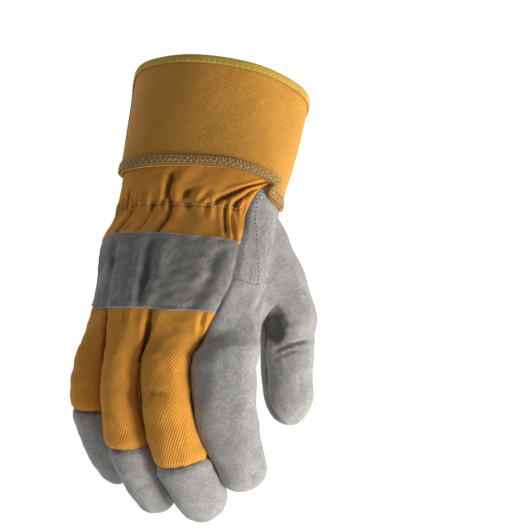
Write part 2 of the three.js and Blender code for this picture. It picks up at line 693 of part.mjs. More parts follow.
// The binding folded over the hem, round both corners and down the slit
const BINDING = { width: 4.2, slitShares: [0.25, 0.45, 0.65, 0.85] };
function makeBinding() {
  const inside = CANVAS / 2 + 1.5 * GAP;
  const outside = inside + TRIM;
  const section = [
    [BINDING.width, inside], [BINDING.width, outside], [-GAP - TRIM, outside], [-GAP - TRIM, -outside],
    [BINDING.width, -outside], [BINDING.width, -inside], [-GAP, -inside], [-GAP, inside],
  ];
  const places = [
    ...BINDING.slitShares.map((share) => [0, share]),
    ...range(0, ALL_COLUMNS).map((column) => [column, 1]),
    ...BINDING.slitShares.toReversed().map((share) => [ALL_COLUMNS, share]),
  ];
  const path = places.map(([column, share]) => cuffPoint(column, share, CUFF_OFFSET));
  const sheet = new Sheet();
  const rings = path.map((point, i) => {
    const before = path[Math.max(i - 1, 0)];
    const after = path[Math.min(i + 1, path.length - 1)];
    const tangent = after.clone().sub(before).normalize();
    const [column, share] = places[i];
    const y = lerp(cuffFoot(column), cuffHem(column), share);
    const normal = handNormal(cuffColumn(column), y);
    normal.addScaledVector(tangent, -normal.dot(tangent)).normalize();
    const inward = tangent.clone().cross(normal).normalize();
    return section.map(([deep, out]) => {
      const place = point.clone().addScaledVector(inward, deep).addScaledVector(normal, out);
      return sheet.add(place);
    });
  });
  for (let i = 0; i < rings.length - 1; i += 1) {
    for (let k = 0; k < section.length; k += 1) {
      const next = (k + 1) % section.length;
      sheet.face(rings[i][k], rings[i + 1][next], rings[i][next]);
      sheet.face(rings[i][k], rings[i + 1][k], rings[i + 1][next]);
    }
  }
  const cap = [[0, 1, 7], [1, 2, 7], [2, 6, 7], [2, 3, 6], [3, 5, 6], [3, 4, 5]];
  for (const [a, b, c] of cap) {
    sheet.face(rings[0][a], rings[0][b], rings[0][c]);
    const end = rings[rings.length - 1];
    sheet.face(end[a], end[c], end[b]);
  }
  return sheet.geometry();
}

// Materials
function finish(color, roughness) {
  return new THREE.MeshStandardMaterial({ color, roughness, metalness: 0 });
}

const greyLeather = finish(0xa3a19d, 0.95);
const strapLeather = finish(0x8c8a87, 0.95);
const orangeTwill = finish(0xc98632, 0.9);
const cuffCanvas = finish(0xb87a2e, 0.85);
const yellowBinding = finish(0xc9a23c, 0.8);
const tanTape = finish(0xb08a55, 0.85);
const blackTape = finish(0x1c1b1a, 0.8);

const skin = makeSkin();
const skinNormals = skin.normals();
const thumb = makeThumb();
const thumbNormals = thumb.normals();

// The palm is open for the thumb's root, and its back and palm sides part where they would meet in one
// point beside the index finger
const crotch = vector(...KNUCKLES[3]).multiplyScalar(PALM_WIDTH);
const crotchRoom = wasm.Manifold.sphere(CROTCH_RADIUS, 12).translate(crotch.toArray());
const palmSkin = solidOf(wall(skin, skinNormals, 'palm_leather', 0, LEATHER));
const palmLeather = palmSkin.subtract(thumbPlug()).subtract(crotchRoom);

// The index finger keeps clear of the middle finger where the two part
const middleRoom = solidOf(wall(skin, skinNormals, 'middle_ring_front', GAP / 2, LEATHER + GAP / 2, 0));
const indexFinger = solidOf(wall(skin, skinNormals, 'index_finger', 0, LEATHER)).subtract(middleRoom);


// How far the strap's leather is raised above the cloth beside it
const STRAP_RAISED = 0.6;
const skinWall = (piece, thickness) => wall(skin, skinNormals, piece, 0, thickness);
const strap = wall(skin, skinNormals, 'knuckle_strap', STRAP_RAISED, LEATHER - STRAP_RAISED);
const pieces = [
  ['palm_leather', geometryOf(palmLeather), greyLeather],
  ['thumb_root', wall(thumb, thumbNormals, 'root', 0, LEATHER), greyLeather],
  ['index_finger', geometryOf(indexFinger), greyLeather],
  ['little_front', skinWall('little_front', LEATHER), greyLeather],
  ['middle_ring_front', skinWall('middle_ring_front', LEATHER), greyLeather],
  ['back_cloth', wall(skin, skinNormals, 'back_cloth', 0, CLOTH, CORNER_STEP), orangeTwill],
  ['knuckle_strap', strap, strapLeather],
  ['back_gather', skinWall('back_gather', CLOTH), orangeTwill],
  ['little_tip', skinWall('little_tip', LEATHER), greyLeather],
  ['ring_tip', skinWall('ring_tip', LEATHER), greyLeather],
  ['middle_tip', skinWall('middle_tip', LEATHER), greyLeather],
  ['thumb_back', wall(thumb, thumbNormals, 'thumb_back', 0, LEATHER), greyLeather],
  ['thumb_front', wall(thumb, thumbNormals, 'thumb_front', 0, LEATHER, CORNER_STEP), greyLeather],
  ['wrist_patch', patch, greyLeather],
  ['cuff', cuff, cuffCanvas],
  ['cuff_binding', makeBinding(), yellowBinding],
  ['cuff_tape', tape, tanTape],
  ['side_label', label, blackTape],
];

const glove = new THREE.Group();
glove.name = 'rigger_glove';
for (const [name, geometry, material] of pieces) {
  geometry.computeVertexNormals();
  const mesh = new THREE.Mesh(geometry, material);
  mesh.name = name;
  glove.add(mesh);
}

// The origin is under the middle of the glove, on the surface that it rests on
const box = new THREE.Box3().setFromObject(glove);
glove.position.set(-(box.min.x + box.max.x) / 2, -(box.min.y + box.max.y) / 2, -box.min.z);

export default glove;
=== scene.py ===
"""A right-hand rigger glove of grey split leather and orange twill, lying palm down.

The surface of hand, fingers and thumb is worked out as functions of two parameters on grids, in
millimetres, and turned into meshes in the frame's metres.
"""

import logging
import math
from dataclasses import dataclass, field
from enum import Enum

import bpy
import numpy as np
from mathutils import Matrix, Vector


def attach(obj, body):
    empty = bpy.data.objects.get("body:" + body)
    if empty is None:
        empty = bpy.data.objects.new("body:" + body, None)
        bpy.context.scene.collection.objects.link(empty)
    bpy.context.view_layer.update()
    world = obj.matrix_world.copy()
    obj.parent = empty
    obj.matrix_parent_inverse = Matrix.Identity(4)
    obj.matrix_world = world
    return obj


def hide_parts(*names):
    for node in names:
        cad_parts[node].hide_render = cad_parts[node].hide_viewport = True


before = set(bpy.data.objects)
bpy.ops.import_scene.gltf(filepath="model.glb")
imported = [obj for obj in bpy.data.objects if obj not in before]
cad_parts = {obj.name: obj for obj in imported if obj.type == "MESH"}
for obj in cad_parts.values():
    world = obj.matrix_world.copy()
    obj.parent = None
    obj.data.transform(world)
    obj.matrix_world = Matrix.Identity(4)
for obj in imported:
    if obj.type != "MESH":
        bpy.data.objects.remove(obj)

LOG = logging.getLogger("rigger_glove")
MM = 0.001
Finishes = dict[str, bpy.types.Material]

# Driving sizes of the glove, millimetres
PALM_WIDTH = 100.0
HAND_LENGTH = 110.0
HEM_HEIGHT = 78.0
KNUCKLE_SHARE = -0.98
KNUCKLE_LINE = KNUCKLE_SHARE * HAND_LENGTH
# From the middle of the wrist seam to the frame's origin under the middle of the glove
ORIGIN = np.array([-12.40, 58.00, 1.41])
FLOOR = -1.4

# Columns around the hand: eighteen on the back panels, six on the leather beside them, the rest on the palm
BACK_PANEL = 18.0
BACK_COLUMNS = 24.0
ALL_COLUMNS = 48.0
PER_FINGER = 6.0
COLUMN_MM = 6.1
# The palm's columns in front of the ring and middle fingers
FRONT_COLUMNS = (30.0, 42.0)
# Girths on which the seams of a finger and of the thumb are laid out, millimetres
FINGER_GIRTH = 38.0
THUMB_GIRTH = 82.0
# Relief lower than this is darkened with painted shade in the materials, fully so once it is lower by the
# reach, millimetres
CREASE_START = 0.4
CREASE_REACH = 0.9


def smooth(x: np.ndarray) -> np.ndarray:
    """Eases from 0 to 1: 3x² − 2x³, held outside that range."""
    x = np.clip(x, 0.0, 1.0)
    return x * x * (3.0 - 2.0 * x)


def lerp(a: np.ndarray | float, b: np.ndarray | float, t: np.ndarray | float) -> np.ndarray | float:
    """The value a share t of the way from a to b."""
    return a + (b - a) * t


def unit(v: np.ndarray) -> np.ndarray:
    """Vectors of length one in the directions of v."""
    return v / np.maximum(np.linalg.norm(v, axis=-1, keepdims=True), 1e-12)


def bell(x: np.ndarray, width: float) -> np.ndarray:
    """A bell of height 1 over x = 0: e to the power of minus (x / width)²."""
    return np.exp(-((x / width) ** 2))


def on_line(at: np.ndarray, places: np.ndarray, line: np.ndarray) -> np.ndarray:
    """Points or directions of a line, interpolated between its places."""
    return np.stack([np.interp(at, places, line[:, k]) for k in range(3)], axis=-1)


def length_of(path: np.ndarray) -> float:
    """The length of a path: the sum of the distances between its points."""
    return float(np.linalg.norm(np.diff(path, axis=0), axis=-1).sum())


def lengths_along(points: np.ndarray, axis: int = 0) -> np.ndarray:
    """The length from the first point to each: the running sum of the distances along an axis."""
    steps = np.linalg.norm(np.diff(points, axis=axis), axis=-1)
    start = np.zeros_like(np.take(steps, [0], axis=axis))
    return np.concatenate([start, np.cumsum(steps, axis=axis)], axis=axis)


def cells(grid: np.ndarray) -> np.ndarray:
    """Two triangles for each cell of a grid of point numbers."""
    a, b = grid[:-1, :-1].ravel(), grid[1:, :-1].ravel()
    c, d = grid[1:, 1:].ravel(), grid[:-1, 1:].ravel()
    return np.concatenate([np.stack([a, b, c], 1), np.stack([a, c, d], 1)])


class Curve:
    """A smooth curve through points, that never overshoots them: cubic pieces with limited slopes."""

    def __init__(self, xs: list[float], ys: list[float]) -> None:
        """Takes the points and works out the slopes, each the harmonic mean of its neighbours'."""
        order = np.argsort(xs)
        self.xs = np.asarray(xs, float)[order]
        self.ys = np.asarray(ys, float)[order]
        steps = np.diff(self.xs)
        slopes = np.diff(self.ys) / steps
        tangents = np.concatenate([slopes[:1], np.zeros(len(xs) - 2), slopes[-1:]])
        before = 2 * steps[1:] + steps[:-1]
        after = steps[1:] + 2 * steps[:-1]
        same = slopes[:-1] * slopes[1:] > 0
        low = np.where(same, slopes[:-1], 1.0)
        high = np.where(same, slopes[1:], 1.0)
        tangents[1:-1] = np.where(same, (before + after) / (before / low + after / high), 0.0)
        self.tangents = tangents

    def __call__(self, x: np.ndarray) -> np.ndarray:
        """The curve's height at x, held at both ends."""
        x = np.clip(np.asarray(x, float), self.xs[0], self.xs[-1])
        i = np.clip(np.searchsorted(self.xs, x, side="right") - 1, 0, len(self.xs) - 2)
        step = self.xs[i + 1] - self.xs[i]
        t = (x - self.xs[i]) / step
        rise = step * (self.tangents[i] * t * (1 - t) ** 2 - self.tangents[i + 1] * t * t * (1 - t))
        return lerp(self.ys[i], self.ys[i + 1], t * t * (3 - 2 * t)) + rise


def superellipse(angle: np.ndarray, power: np.ndarray) -> tuple[np.ndarray, np.ndarray]:
    """A rounded square's point at an angle: cosine and sine, each raised to 2 / power."""
    cosine = np.cos(angle)
    sine = np.sin(angle)
    share = 2.0 / power
    return np.sign(cosine) * np.abs(cosine) ** share, np.sign(sine) * np.abs(sine) ** share


def direction_of(pitch: np.ndarray, yaw: np.ndarray) -> np.ndarray:
    """The direction that dips by pitch and turns by yaw from straight towards the fingertips."""
    return np.stack(
        [np.sin(yaw) * np.cos(pitch), -np.cos(yaw) * np.cos(pitch), -np.sin(pitch)], axis=-1
    )


@dataclass(frozen=True)
class Digit:
    """A finger or the thumb as a bent tube: shares of PALM_WIDTH and degrees, at five places along it."""

    name: str
    length: float
    pitch: tuple[float, ...]
    yaw: tuple[float, ...]
    roll: tuple[float, ...]
    half: tuple[float, ...]
    back: tuple[float, ...]
    front: tuple[float, ...]
    seam: float = 1.0

    def curve(self, values: tuple[float, ...]) -> Curve:
        """A table's values as a curve over the digit's length."""
        return Curve([0.0, 0.25, 0.5, 0.75, 1.0], list(values))

    def curves(self) -> dict[str, Curve]:
        """All the tables as curves."""
        names = ("pitch", "yaw", "roll", "half", "back", "front")
        return {name: self.curve(getattr(self, name)) for name in names}

    def line(self, start: np.ndarray, steps: int = 60) -> np.ndarray:
        """The centre line from start: the sum of equal steps along the pitch and yaw."""
        middle = (np.arange(steps) + 0.5) / steps
        pitch = np.radians(self.curve(self.pitch)(middle))
        yaw = np.radians(self.curve(self.yaw)(middle))
        moves = direction_of(pitch, yaw) * self.length * PALM_WIDTH / steps
        return np.vstack([start, start + np.cumsum(moves, axis=0)])


FINGERS = (
    Digit("little", 0.75, (14, 24, 34, 46, 56), (-15, 0, 20, 34, 42), (-20,) * 5,
          (0.1, 0.101, 0.106, 0.106, 0.104), (0.12, 0.13, 0.12, 0.12, 0.12),
          (0.13, 0.13, 0.12, 0.115, 0.11), 0.4),
    Digit("ring", 0.88, (8, 18, 34, 52, 66), (-6, 9, 22, 33, 42), (-10,) * 5,
          (0.102, 0.104, 0.113, 0.113, 0.112), (0.13, 0.13, 0.125, 0.125, 0.12),
          (0.135, 0.13, 0.125, 0.12, 0.11), 0.505),
    Digit("middle", 0.93, (6, 15, 33, 50, 62), (3, 11, 22, 34, 45), (0,) * 5,
          (0.127, 0.128, 0.133, 0.137, 0.13), (0.13, 0.135, 0.13, 0.13, 0.12),
          (0.135, 0.13, 0.125, 0.12, 0.11), 0.59),
    Digit("index", 0.76, (10, 18, 32, 46, 60), (8, 8, 11, 17, 21), (8,) * 5,
          (0.155, 0.151, 0.145, 0.136, 0.127), (0.13, 0.135, 0.13, 0.13, 0.12),
          (0.14, 0.13, 0.125, 0.12, 0.11)),
)
THUMB = Digit("thumb", 0.99, (15, 13, 11, 8, 5), (20, 13, 5, 8, 18), (40, 40, 40, 38, 36),
              (0.28, 0.21, 0.15, 0.136, 0.118), (0.22, 0.18, 0.145, 0.13, 0.12),
              (0.2, 0.17, 0.14, 0.13, 0.12))
THUMB_START = np.array([0.49, -0.31, 0.278]) * PALM_WIDTH
KNUCKLES = np.array([
    [-0.46, -0.98, 0.37],
    [-0.31, -1.1, 0.44],
    [-0.1, -1.1, 0.48],
    [0.17, -1.05, 0.48],
    [0.52, -0.96, 0.43],
]) * PALM_WIDTH
DOME = 0.16
TIP_ROUND = 2.3
FINGER_ROUND = 2.3
ROOT_EASE = 0.13
RING_LEAN = 0.07
THUMB_DOME = 0.17
THUMB_ROUND = 2.2
BLEND_START = -0.56 * HAND_LENGTH


def dome_scale(share: np.ndarray, dome: float) -> np.ndarray:
    """Rounds a tip off over the last share of its length, as a superellipse."""
    into = np.clip((share - (1 - dome)) / dome, 0.0, 1.0)
    return np.maximum(1 - into ** TIP_ROUND, 0.0) ** (1 / TIP_ROUND)


def on_floor(points: np.ndarray) -> np.ndarray:
    """Flattens what would reach below the floor."""
    points[..., 2] = np.maximum(points[..., 2], FLOOR)
    return points


class FingerForm:
    """The surface of one finger, which grows out of the hand between two knuckle points."""

    def __init__(self, digit: Digit, start: np.ndarray, end: np.ndarray) -> None:
        """Takes the finger's table and the knuckle points at its two sides."""
        self.digit = digit
        self.root_wide = unit(end - start)
        self.root_half = np.linalg.norm(end - start) / 2
        self.centres = digit.line((start + end) / 2)
        self.at = digit.curves()

    def point(self, level: np.ndarray, around: np.ndarray, side: np.ndarray) -> np.ndarray:
        """A point of the surface.

        Args:
            level: share of the finger's length.
            around: 0 at the little finger's side, 1 at the thumb's side.
            side: 1 on the back, -1 on the front.
        Returns:
            Points in millimetres.
        """
        level, around, side = np.broadcast_arrays(level, around, side)
        share = level + RING_LEAN * (around - 0.5) * np.sin(np.pi * level)
        yaw = np.radians(self.at["yaw"](share))
        roll = np.radians(self.at["roll"](share))
        ahead = direction_of(np.radians(self.at["pitch"](share)), yaw)
        wide = np.stack([np.cos(roll) * np.cos(yaw), np.cos(roll) * np.sin(yaw), -np.sin(roll)], axis=-1)
        root = smooth(1 - share / ROOT_EASE)[..., None]
        wide = lerp(wide, self.root_wide, root)
        wide = unit(wide - ahead * np.sum(wide * ahead, axis=-1, keepdims=True) * (1 - root))
        up = unit(np.cross(ahead, wide))
        dome = dome_scale(share, DOME)
        half = lerp(self.at["half"](share) * PALM_WIDTH, self.root_half, root[..., 0]) * dome
        high = np.where(side > 0, self.at["back"](share), -self.at["front"](share)) * PALM_WIDTH * dome
        out, rise = superellipse(np.pi * (1 - around), FINGER_ROUND)
        places = np.linspace(0, 1, len(self.centres))
        held = np.clip(share, 0, 1)
        centre = on_line(held, places, self.centres)
        return on_floor(centre + wide * (half * out)[..., None] + up * (high * np.abs(rise))[..., None])


class HandForm:
    """The surface of cuff and hand by column and distance from the wrist seam."""

    ALONG = [0.6, 0.36, 0.13, 0, -0.21, -0.38, -0.73, -0.98]
    SECTIONS = {
        "ulnar": [-0.445, -0.44, -0.44, -0.44, -0.445, -0.485, -0.445, -0.44],
        "radial": [0.545, 0.525, 0.495, 0.48, 0.49, 0.51, 0.49, 0.49],
        "top": [0.985, 0.9, 0.81, 0.77, 0.72, 0.78, 0.82, 0.77],
        "bottom": [0.03, 0.055, 0.1, 0.13, 0.15, 0.18, 0.31, 0.42],
        "ulnar_height": [0.49, 0.46, 0.44, 0.44, 0.44, 0.46, 0.49, 0.56],
        "radial_height": [0.51, 0.5, 0.49, 0.49, 0.46, 0.46, 0.51, 0.59],
        "back_round": [2.1, 2.2, 2.5, 2.7, 2.6, 2.5, 2.4, 2.3],
        "palm_round": [2.1, 2.2, 2.4, 2.4, 2.4, 2.4, 2.4, 2.3],
    }
    SEAM_ALONG = [0.3, 0.02, -0.03, -0.08, -0.2, -0.4, -0.6, -0.77, -0.88, -0.98]
    SEAM_ACROSS = [0.75, 0.93, 0.85, 0.77, 0.72, 0.715, 0.72, 0.72, 0.73, 0.75]
    LEAN_ALONG = [0.6, 0.2, 0, -0.365, -0.73, -0.98]
    LEAN = [0.04, 0.02, 0, 0.015, 0.02, 0]

    def __init__(self) -> None:
        """Turns the tables into curves and makes the fingers that the hand runs into."""
        self.at = {name: Curve(self.ALONG, values) for name, values in self.SECTIONS.items()}
        self.seam = Curve(self.SEAM_ALONG, self.SEAM_ACROSS)
        self.lean = Curve(self.LEAN_ALONG, self.LEAN)
        self.fingers = [
            FingerForm(digit, KNUCKLES[i], KNUCKLES[i + 1]) for i, digit in enumerate(FINGERS)
        ]

    def section(self, across: np.ndarray, y: np.ndarray, side: np.ndarray) -> np.ndarray:
        """A point of the cross-section at y: two half superellipses that meet at the edges' heights.

        Args:
            across: 0 at the little finger's side, 1 at the thumb's side.
            y: distances from the wrist seam in mm, below 0 towards the fingers.
            side: 1 on the back, -1 on the front.
        Returns:
            Points in mm.
        """
        along = y / HAND_LENGTH
        left = self.at["ulnar"](along) * PALM_WIDTH
        right = self.at["radial"](along) * PALM_WIDTH
        ulnar = self.at["ulnar_height"](along) * HEM_HEIGHT
        radial = self.at["radial_height"](along) * HEM_HEIGHT
        far = np.where(side > 0, self.at["top"](along), self.at["bottom"](along)) * HEM_HEIGHT
        power = np.where(side > 0, self.at["back_round"](along), self.at["palm_round"](along))
        out, rise = superellipse(np.pi * (1 - across), power)
        over = (out + 1) / 2
        z = lerp(ulnar, radial, over) + (far - (ulnar + radial) / 2) * np.abs(rise)
        return np.stack([lerp(left, right, over), y + 0 * z, z], axis=-1)

    def place(self, column: np.ndarray, y: np.ndarray) -> tuple[np.ndarray, np.ndarray]:
        """Where a column lies: its side of the hand and its share of the way across.

        Args:
            column: columns around the hand.
            y: distances from the wrist seam in mm, below 0 towards the fingers.
        Returns:
            The share across, and the side: 1 on the back, -1 on the palm.
        """
        seam = self.seam(y / HAND_LENGTH)
        panel = column / BACK_PANEL * seam
        leather = lerp(seam, 1.0, (column - BACK_PANEL) / PER_FINGER)
        palm = (ALL_COLUMNS - column) / BACK_COLUMNS
        across = np.where(column <= BACK_PANEL, panel, np.where(column <= BACK_COLUMNS, leather, palm))
        return across, np.where(column <= BACK_COLUMNS, 1.0, -1.0)

    def root(self, column: np.ndarray) -> np.ndarray:
        """The four fingers' root outline at the columns."""
        mirrored = np.where(column <= BACK_COLUMNS, column, ALL_COLUMNS - column)
        index = np.clip(np.floor(mirrored / PER_FINGER), 0, 3)
        side = np.where(column <= BACK_COLUMNS, 1.0, -1.0)
        points = np.zeros(column.shape + (3,))
        for i, finger in enumerate(self.fingers):
            here = index == i
            points[here] = finger.point(0.0, mirrored[here] / PER_FINGER - i, side[here])
        return points

    def point(self, column: np.ndarray, y: np.ndarray) -> np.ndarray:
        """The outer surface: the cross-section, leaned, and near the knuckles blended into the roots.

        Args:
            column: columns around the hand.
            y: distances from the wrist seam in mm, below 0 towards the fingers.
        Returns:
            Points in mm.
        """
        column, y = np.broadcast_arrays(np.asarray(column, float), np.asarray(y, float))
        across, side = self.place(column, y)
        points = self.section(across, y, side)
        points[..., 1] -= self.lean(y / HAND_LENGTH) * 2 * points[..., 0]
        blend = np.clip((BLEND_START - y) / (BLEND_START - KNUCKLE_LINE), 0.0, 1.0)
        root = self.root(column)
        points[..., 0] = lerp(points[..., 0], root[..., 0], blend ** 1.5)
        points[..., 1] += (root[..., 1] - KNUCKLE_LINE) * blend
        points[..., 2] = lerp(points[..., 2], root[..., 2], blend ** 3)
        return points

    def normal(self, column: np.ndarray, y: np.ndarray) -> np.ndarray:
        """The outward direction, from the differences over a small step each way."""
        step = 0.05
        around = self.point(column + step, y) - self.point(column - step, y)
        along = self.point(column, y + 1) - self.point(column, y - 1)
        return unit(np.cross(around, along))


class ThumbForm:
    """The thumb: a loop on the hand's side that swells into a bent tube."""

    ROOT_ALONG = -0.436
    ROOT_REACH = 0.336
    ROOT_ACROSS = -0.115
    ROOT_SPREAD = 0.205
    INNER = 0.93
    SWELL = 0.6
    SHARE = 0.42
    FULLNESS = 0.8

    def __init__(self, hand: HandForm) -> None:
        """Takes the hand that the thumb grows out of."""
        self.hand = hand
        self.at = THUMB.curves()
        self.centres = THUMB.line(THUMB_START)

    def axes(self, share: np.ndarray) -> tuple[np.ndarray, np.ndarray, np.ndarray]:
        """The directions along, across and out of the thumb."""
        yaw = np.radians(self.at["yaw"](share))
        roll = np.radians(self.at["roll"](share))[..., None]
        ahead = direction_of(np.radians(self.at["pitch"](share)), yaw)
        level = np.stack([np.cos(yaw), np.sin(yaw), 0 * yaw], axis=-1)
        up = unit(np.cross(level, ahead))
        up = up * np.where(up[..., 2:] < 0, -1.0, 1.0)
        return ahead, level * np.cos(roll) - up * np.sin(roll), level * np.sin(roll) + up * np.cos(roll)

    def tube(self, share: np.ndarray, around: np.ndarray) -> np.ndarray:
        """A point of the tube: around is 0 at the index finger's side and a quarter at the back.

        Args:
            share: share of the thumb's length.
            around: place around the tube, 0 to 1.
        Returns:
            Points in mm.
        """
        share, around = np.broadcast_arrays(np.asarray(share, float), around)
        _, wide, high = self.axes(share)
        scale = PALM_WIDTH * dome_scale(share, THUMB_DOME)
        out, rise = superellipse(2 * np.pi * around, THUMB_ROUND)
        tall = np.where(rise >= 0, self.at["back"](share), self.at["front"](share))
        places = np.linspace(0, 1, len(self.centres))
        centre = on_line(share, places, self.centres)
        half = (self.at["half"](share) * scale * -out)[..., None]
        return on_floor(centre + wide * half + high * (tall * scale * rise)[..., None])

    def loop(self, around: np.ndarray, scale: float = 1.0) -> np.ndarray:
        """The root loop on the hand's side, an ellipse in the section's own coordinates."""
        angle = 2 * np.pi * around
        across = self.ROOT_ACROSS + self.ROOT_SPREAD * scale * np.sin(angle)
        y = (self.ROOT_ALONG - self.ROOT_REACH * scale * np.cos(angle)) * HAND_LENGTH
        return self.hand.section(1 - np.abs(across), y, np.where(across >= 0, 1.0, -1.0))

    def root(self, around: np.ndarray, t: np.ndarray) -> np.ndarray:
        """The root: a cubic from the loop, along the skin, to the tube, along its axis.

        Args:
            around: place around the root, 0 to 1.
            t: 0 on the hand, 1 on the tube.
        Returns:
            Points in mm.
        """
        around, t = np.broadcast_arrays(around, np.asarray(t, float))
        start = self.loop(around)
        swell = self.SWELL * np.maximum(-np.cos(2 * np.pi * around), 0)
        inward = unit(self.loop(around, self.INNER) - start)
        inward = unit(inward + np.stack([swell, 0 * swell, 0 * swell], axis=-1))
        end = self.tube(self.SHARE, around)
        ahead = self.axes(np.full(around.shape, self.SHARE))[0]
        reach = (np.linalg.norm(end - start, axis=-1) * self.FULLNESS)[..., None]
        t = t[..., None]
        return (
            start * (2 * t ** 3 - 3 * t ** 2 + 1)
            + inward * reach * (t ** 3 - 2 * t ** 2 + t)
            + end * (3 * t ** 2 - 2 * t ** 3)
            + ahead * reach * (t ** 3 - t ** 2)
        )


# The skin


@dataclass(frozen=True)
class Fold:
    """A fold in the skin: a line of (column, share of HAND_LENGTH) points, its depth and width in mm."""

    points: tuple[tuple[float, float], ...]
    depth: float
    width: float
    shoulder: float = 0.45

    def at(self, column: np.ndarray, y: np.ndarray) -> np.ndarray:
        """The fold's height: a bell-shaped valley along the line with a soft ridge at both sides.

        Args:
            column: columns around the hand.
            y: distances from the wrist seam in mm, below 0 towards the fingers.
        Returns:
            Heights in mm.
        """
        line = np.array(self.points) * [COLUMN_MM, HAND_LENGTH]
        here = np.stack([column * COLUMN_MM, y], axis=-1)
        lengths = np.linalg.norm(np.diff(line, axis=0), axis=1)
        starts = np.concatenate([[0.0], np.cumsum(lengths)[:-1]])
        best = np.full(column.shape, 1e9)
        share = np.zeros(column.shape)
        for a, b, length, start in zip(line[:-1], line[1:], lengths, starts):
            t = np.clip((here - a) @ (b - a) / length ** 2, 0.0, 1.0)
            away = np.linalg.norm(here - a - t[..., None] * (b - a), axis=-1)
            nearer = away < best
            best = np.where(nearer, away, best)
            share = np.where(nearer, (start + t * length) / lengths.sum(), share)
        fade = np.sqrt(np.clip(4 * share * (1 - share), 0, 1)) * 0.75 + 0.25
        valley = bell(best, self.width)
        ridge = bell(best - 2.0 * self.width, 1.1 * self.width)
        return self.depth * fade * (self.shoulder * ridge - valley)


def waves(points: np.ndarray, wavelength: float, seed: int, count: int = 7) -> np.ndarray:
    """Soft unevenness from −1 to 1: the mean of sines along random directions through the points."""
    rng = np.random.default_rng(seed)
    ways = unit(rng.normal(size=(count, 3))) * rng.uniform(0.7, 1.5, (count, 1)) * 2 * np.pi / wavelength
    phases = rng.uniform(0, 2 * np.pi, count)
    return np.sin(points @ ways.T + phases).sum(axis=-1) / math.sqrt(count)


def pinch(distance: np.ndarray, depth: float, width: float) -> np.ndarray:
    """A sewn valley: a bell-shaped groove with a slight swelling beside it."""
    groove = bell(distance, width)
    swelling = bell(distance - 3.2 * width, 2.2 * width)
    return depth * (0.28 * swelling - groove)


# Folds of the gathered cloth above and below its elastic
GATHER_FOLDS = (
    Fold(((8.9, 0.0), (10.2, -0.063), (10.8, -0.13), (11.3, -0.175)), 1.7, 1.5),
    Fold(((8.0, -0.1), (8.6, -0.165)), 0.8, 1.3),
    Fold(((11.8, -0.086), (12.0, -0.13), (11.9, -0.172)), 1.3, 1.4),
    Fold(((13.0, -0.094), (13.1, -0.135), (12.9, -0.172)), 1.0, 1.3),
    Fold(((17.0, -0.01), (15.9, -0.08), (14.3, -0.142), (13.9, -0.165)), 1.9, 1.8),
    Fold(((17.9, -0.03), (17.0, -0.09), (16.2, -0.15)), 1.5, 1.6),
    Fold(((7.2, -0.18), (6.4, -0.26), (5.6, -0.35)), 1.1, 1.7),
    Fold(((9.6, -0.18), (9.4, -0.27), (9.1, -0.37)), 1.2, 1.6),
    Fold(((11.5, -0.175), (11.4, -0.26), (11.0, -0.37)), 1.9, 1.8),
    Fold(((15.3, -0.19), (15.9, -0.27), (16.5, -0.36)), 1.3, 1.5),
    Fold(((15.9, -0.19), (16.7, -0.28), (17.4, -0.38)), 1.1, 1.3),
    Fold(((13.6, -0.18), (13.7, -0.24)), 0.6, 1.3),
    Fold(((5.3, -0.06), (5.5, -0.125), (5.6, -0.17)), 0.8, 1.5),
    Fold(((3.2, -0.1), (2.9, -0.2), (2.6, -0.33)), 1.0, 2.0),
    Fold(((1.4, -0.12), (1.5, -0.22), (1.2, -0.34)), 0.9, 1.8),
)
# Dents of the strap, and what the folds above push into it
STRAP_FOLDS = (
    Fold(((11.0, -0.38), (10.8, -0.5), (10.6, -0.62), (10.4, -0.74)), 1.8, 3.2, 0.5),
    Fold(((9.3, -0.4), (9.2, -0.55), (9.1, -0.74)), 0.7, 2.4, 0.4),
    Fold(((6.8, -0.4), (6.4, -0.56), (5.9, -0.72)), 0.8, 2.6, 0.4),
    Fold(((16.2, -0.4), (15.6, -0.55), (15.2, -0.74)), 0.8, 3.6, 0.5),
    Fold(((3.0, -0.4), (2.5, -0.7)), 0.6, 3.0, 0.4),
)
# Valleys that run from the strap down between the fingers
KNUCKLE_FOLDS = (
    Fold(((5.7, -0.75), (5.9, -0.86), (6.0, -0.98)), 1.4, 2.6),
    Fold(((11.8, -0.75), (11.9, -0.86), (12.0, -0.99)), 1.9, 2.5),
    Fold(((16.4, -0.76), (16.9, -0.84), (17.6, -0.9)), 1.3, 1.7),
    Fold(((9.0, -0.76), (9.1, -0.84)), 0.6, 1.9),
    Fold(((14.6, -0.84), (15.8, -0.86), (17.0, -0.9)), 0.6, 2.0),
)
# Creases of the leather: beside the seam, round the thumb's web and across the palm
LEATHER_FOLDS = (
    Fold(((23.6, -0.5), (22.6, -0.6), (22.0, -0.72)), 0.9, 2.6),
    Fold(((22.8, -0.78), (23.3, -0.86), (24.2, -0.92)), 0.8, 2.4),
    Fold(((19.0, -0.05), (20.4, -0.08), (22.4, -0.07)), 0.35, 1.1),
    Fold(((29.0, -0.42), (33.0, -0.6), (36.5, -0.68), (41.0, -0.68)), 1.5, 3.0),
    Fold(((28.5, -0.58), (32.0, -0.74), (37.0, -0.82), (43.0, -0.8)), 1.2, 2.6),
    Fold(((33.5, -0.1), (34.0, -0.3), (33.0, -0.5), (31.0, -0.66)), 1.4, 3.2),
    Fold(((40.0, -0.2), (39.0, -0.45)), 0.7, 3.0),
)

# The cuff's lower edge, in hand lengths above the wrist seam, by column
FOOT = Curve([0, 3, 5.6, 9, 11.2, 14.4, 17.0, 18.4, 20.2, 22, 24, 26, 28.5, 31, 44, 48],
             [0.045, 0.03, 0.02, 0.022, 0.019, 0.001, -0.012, -0.03, -0.088, -0.1, -0.095, -0.075,
              -0.015, 0, 0.01, 0.04])
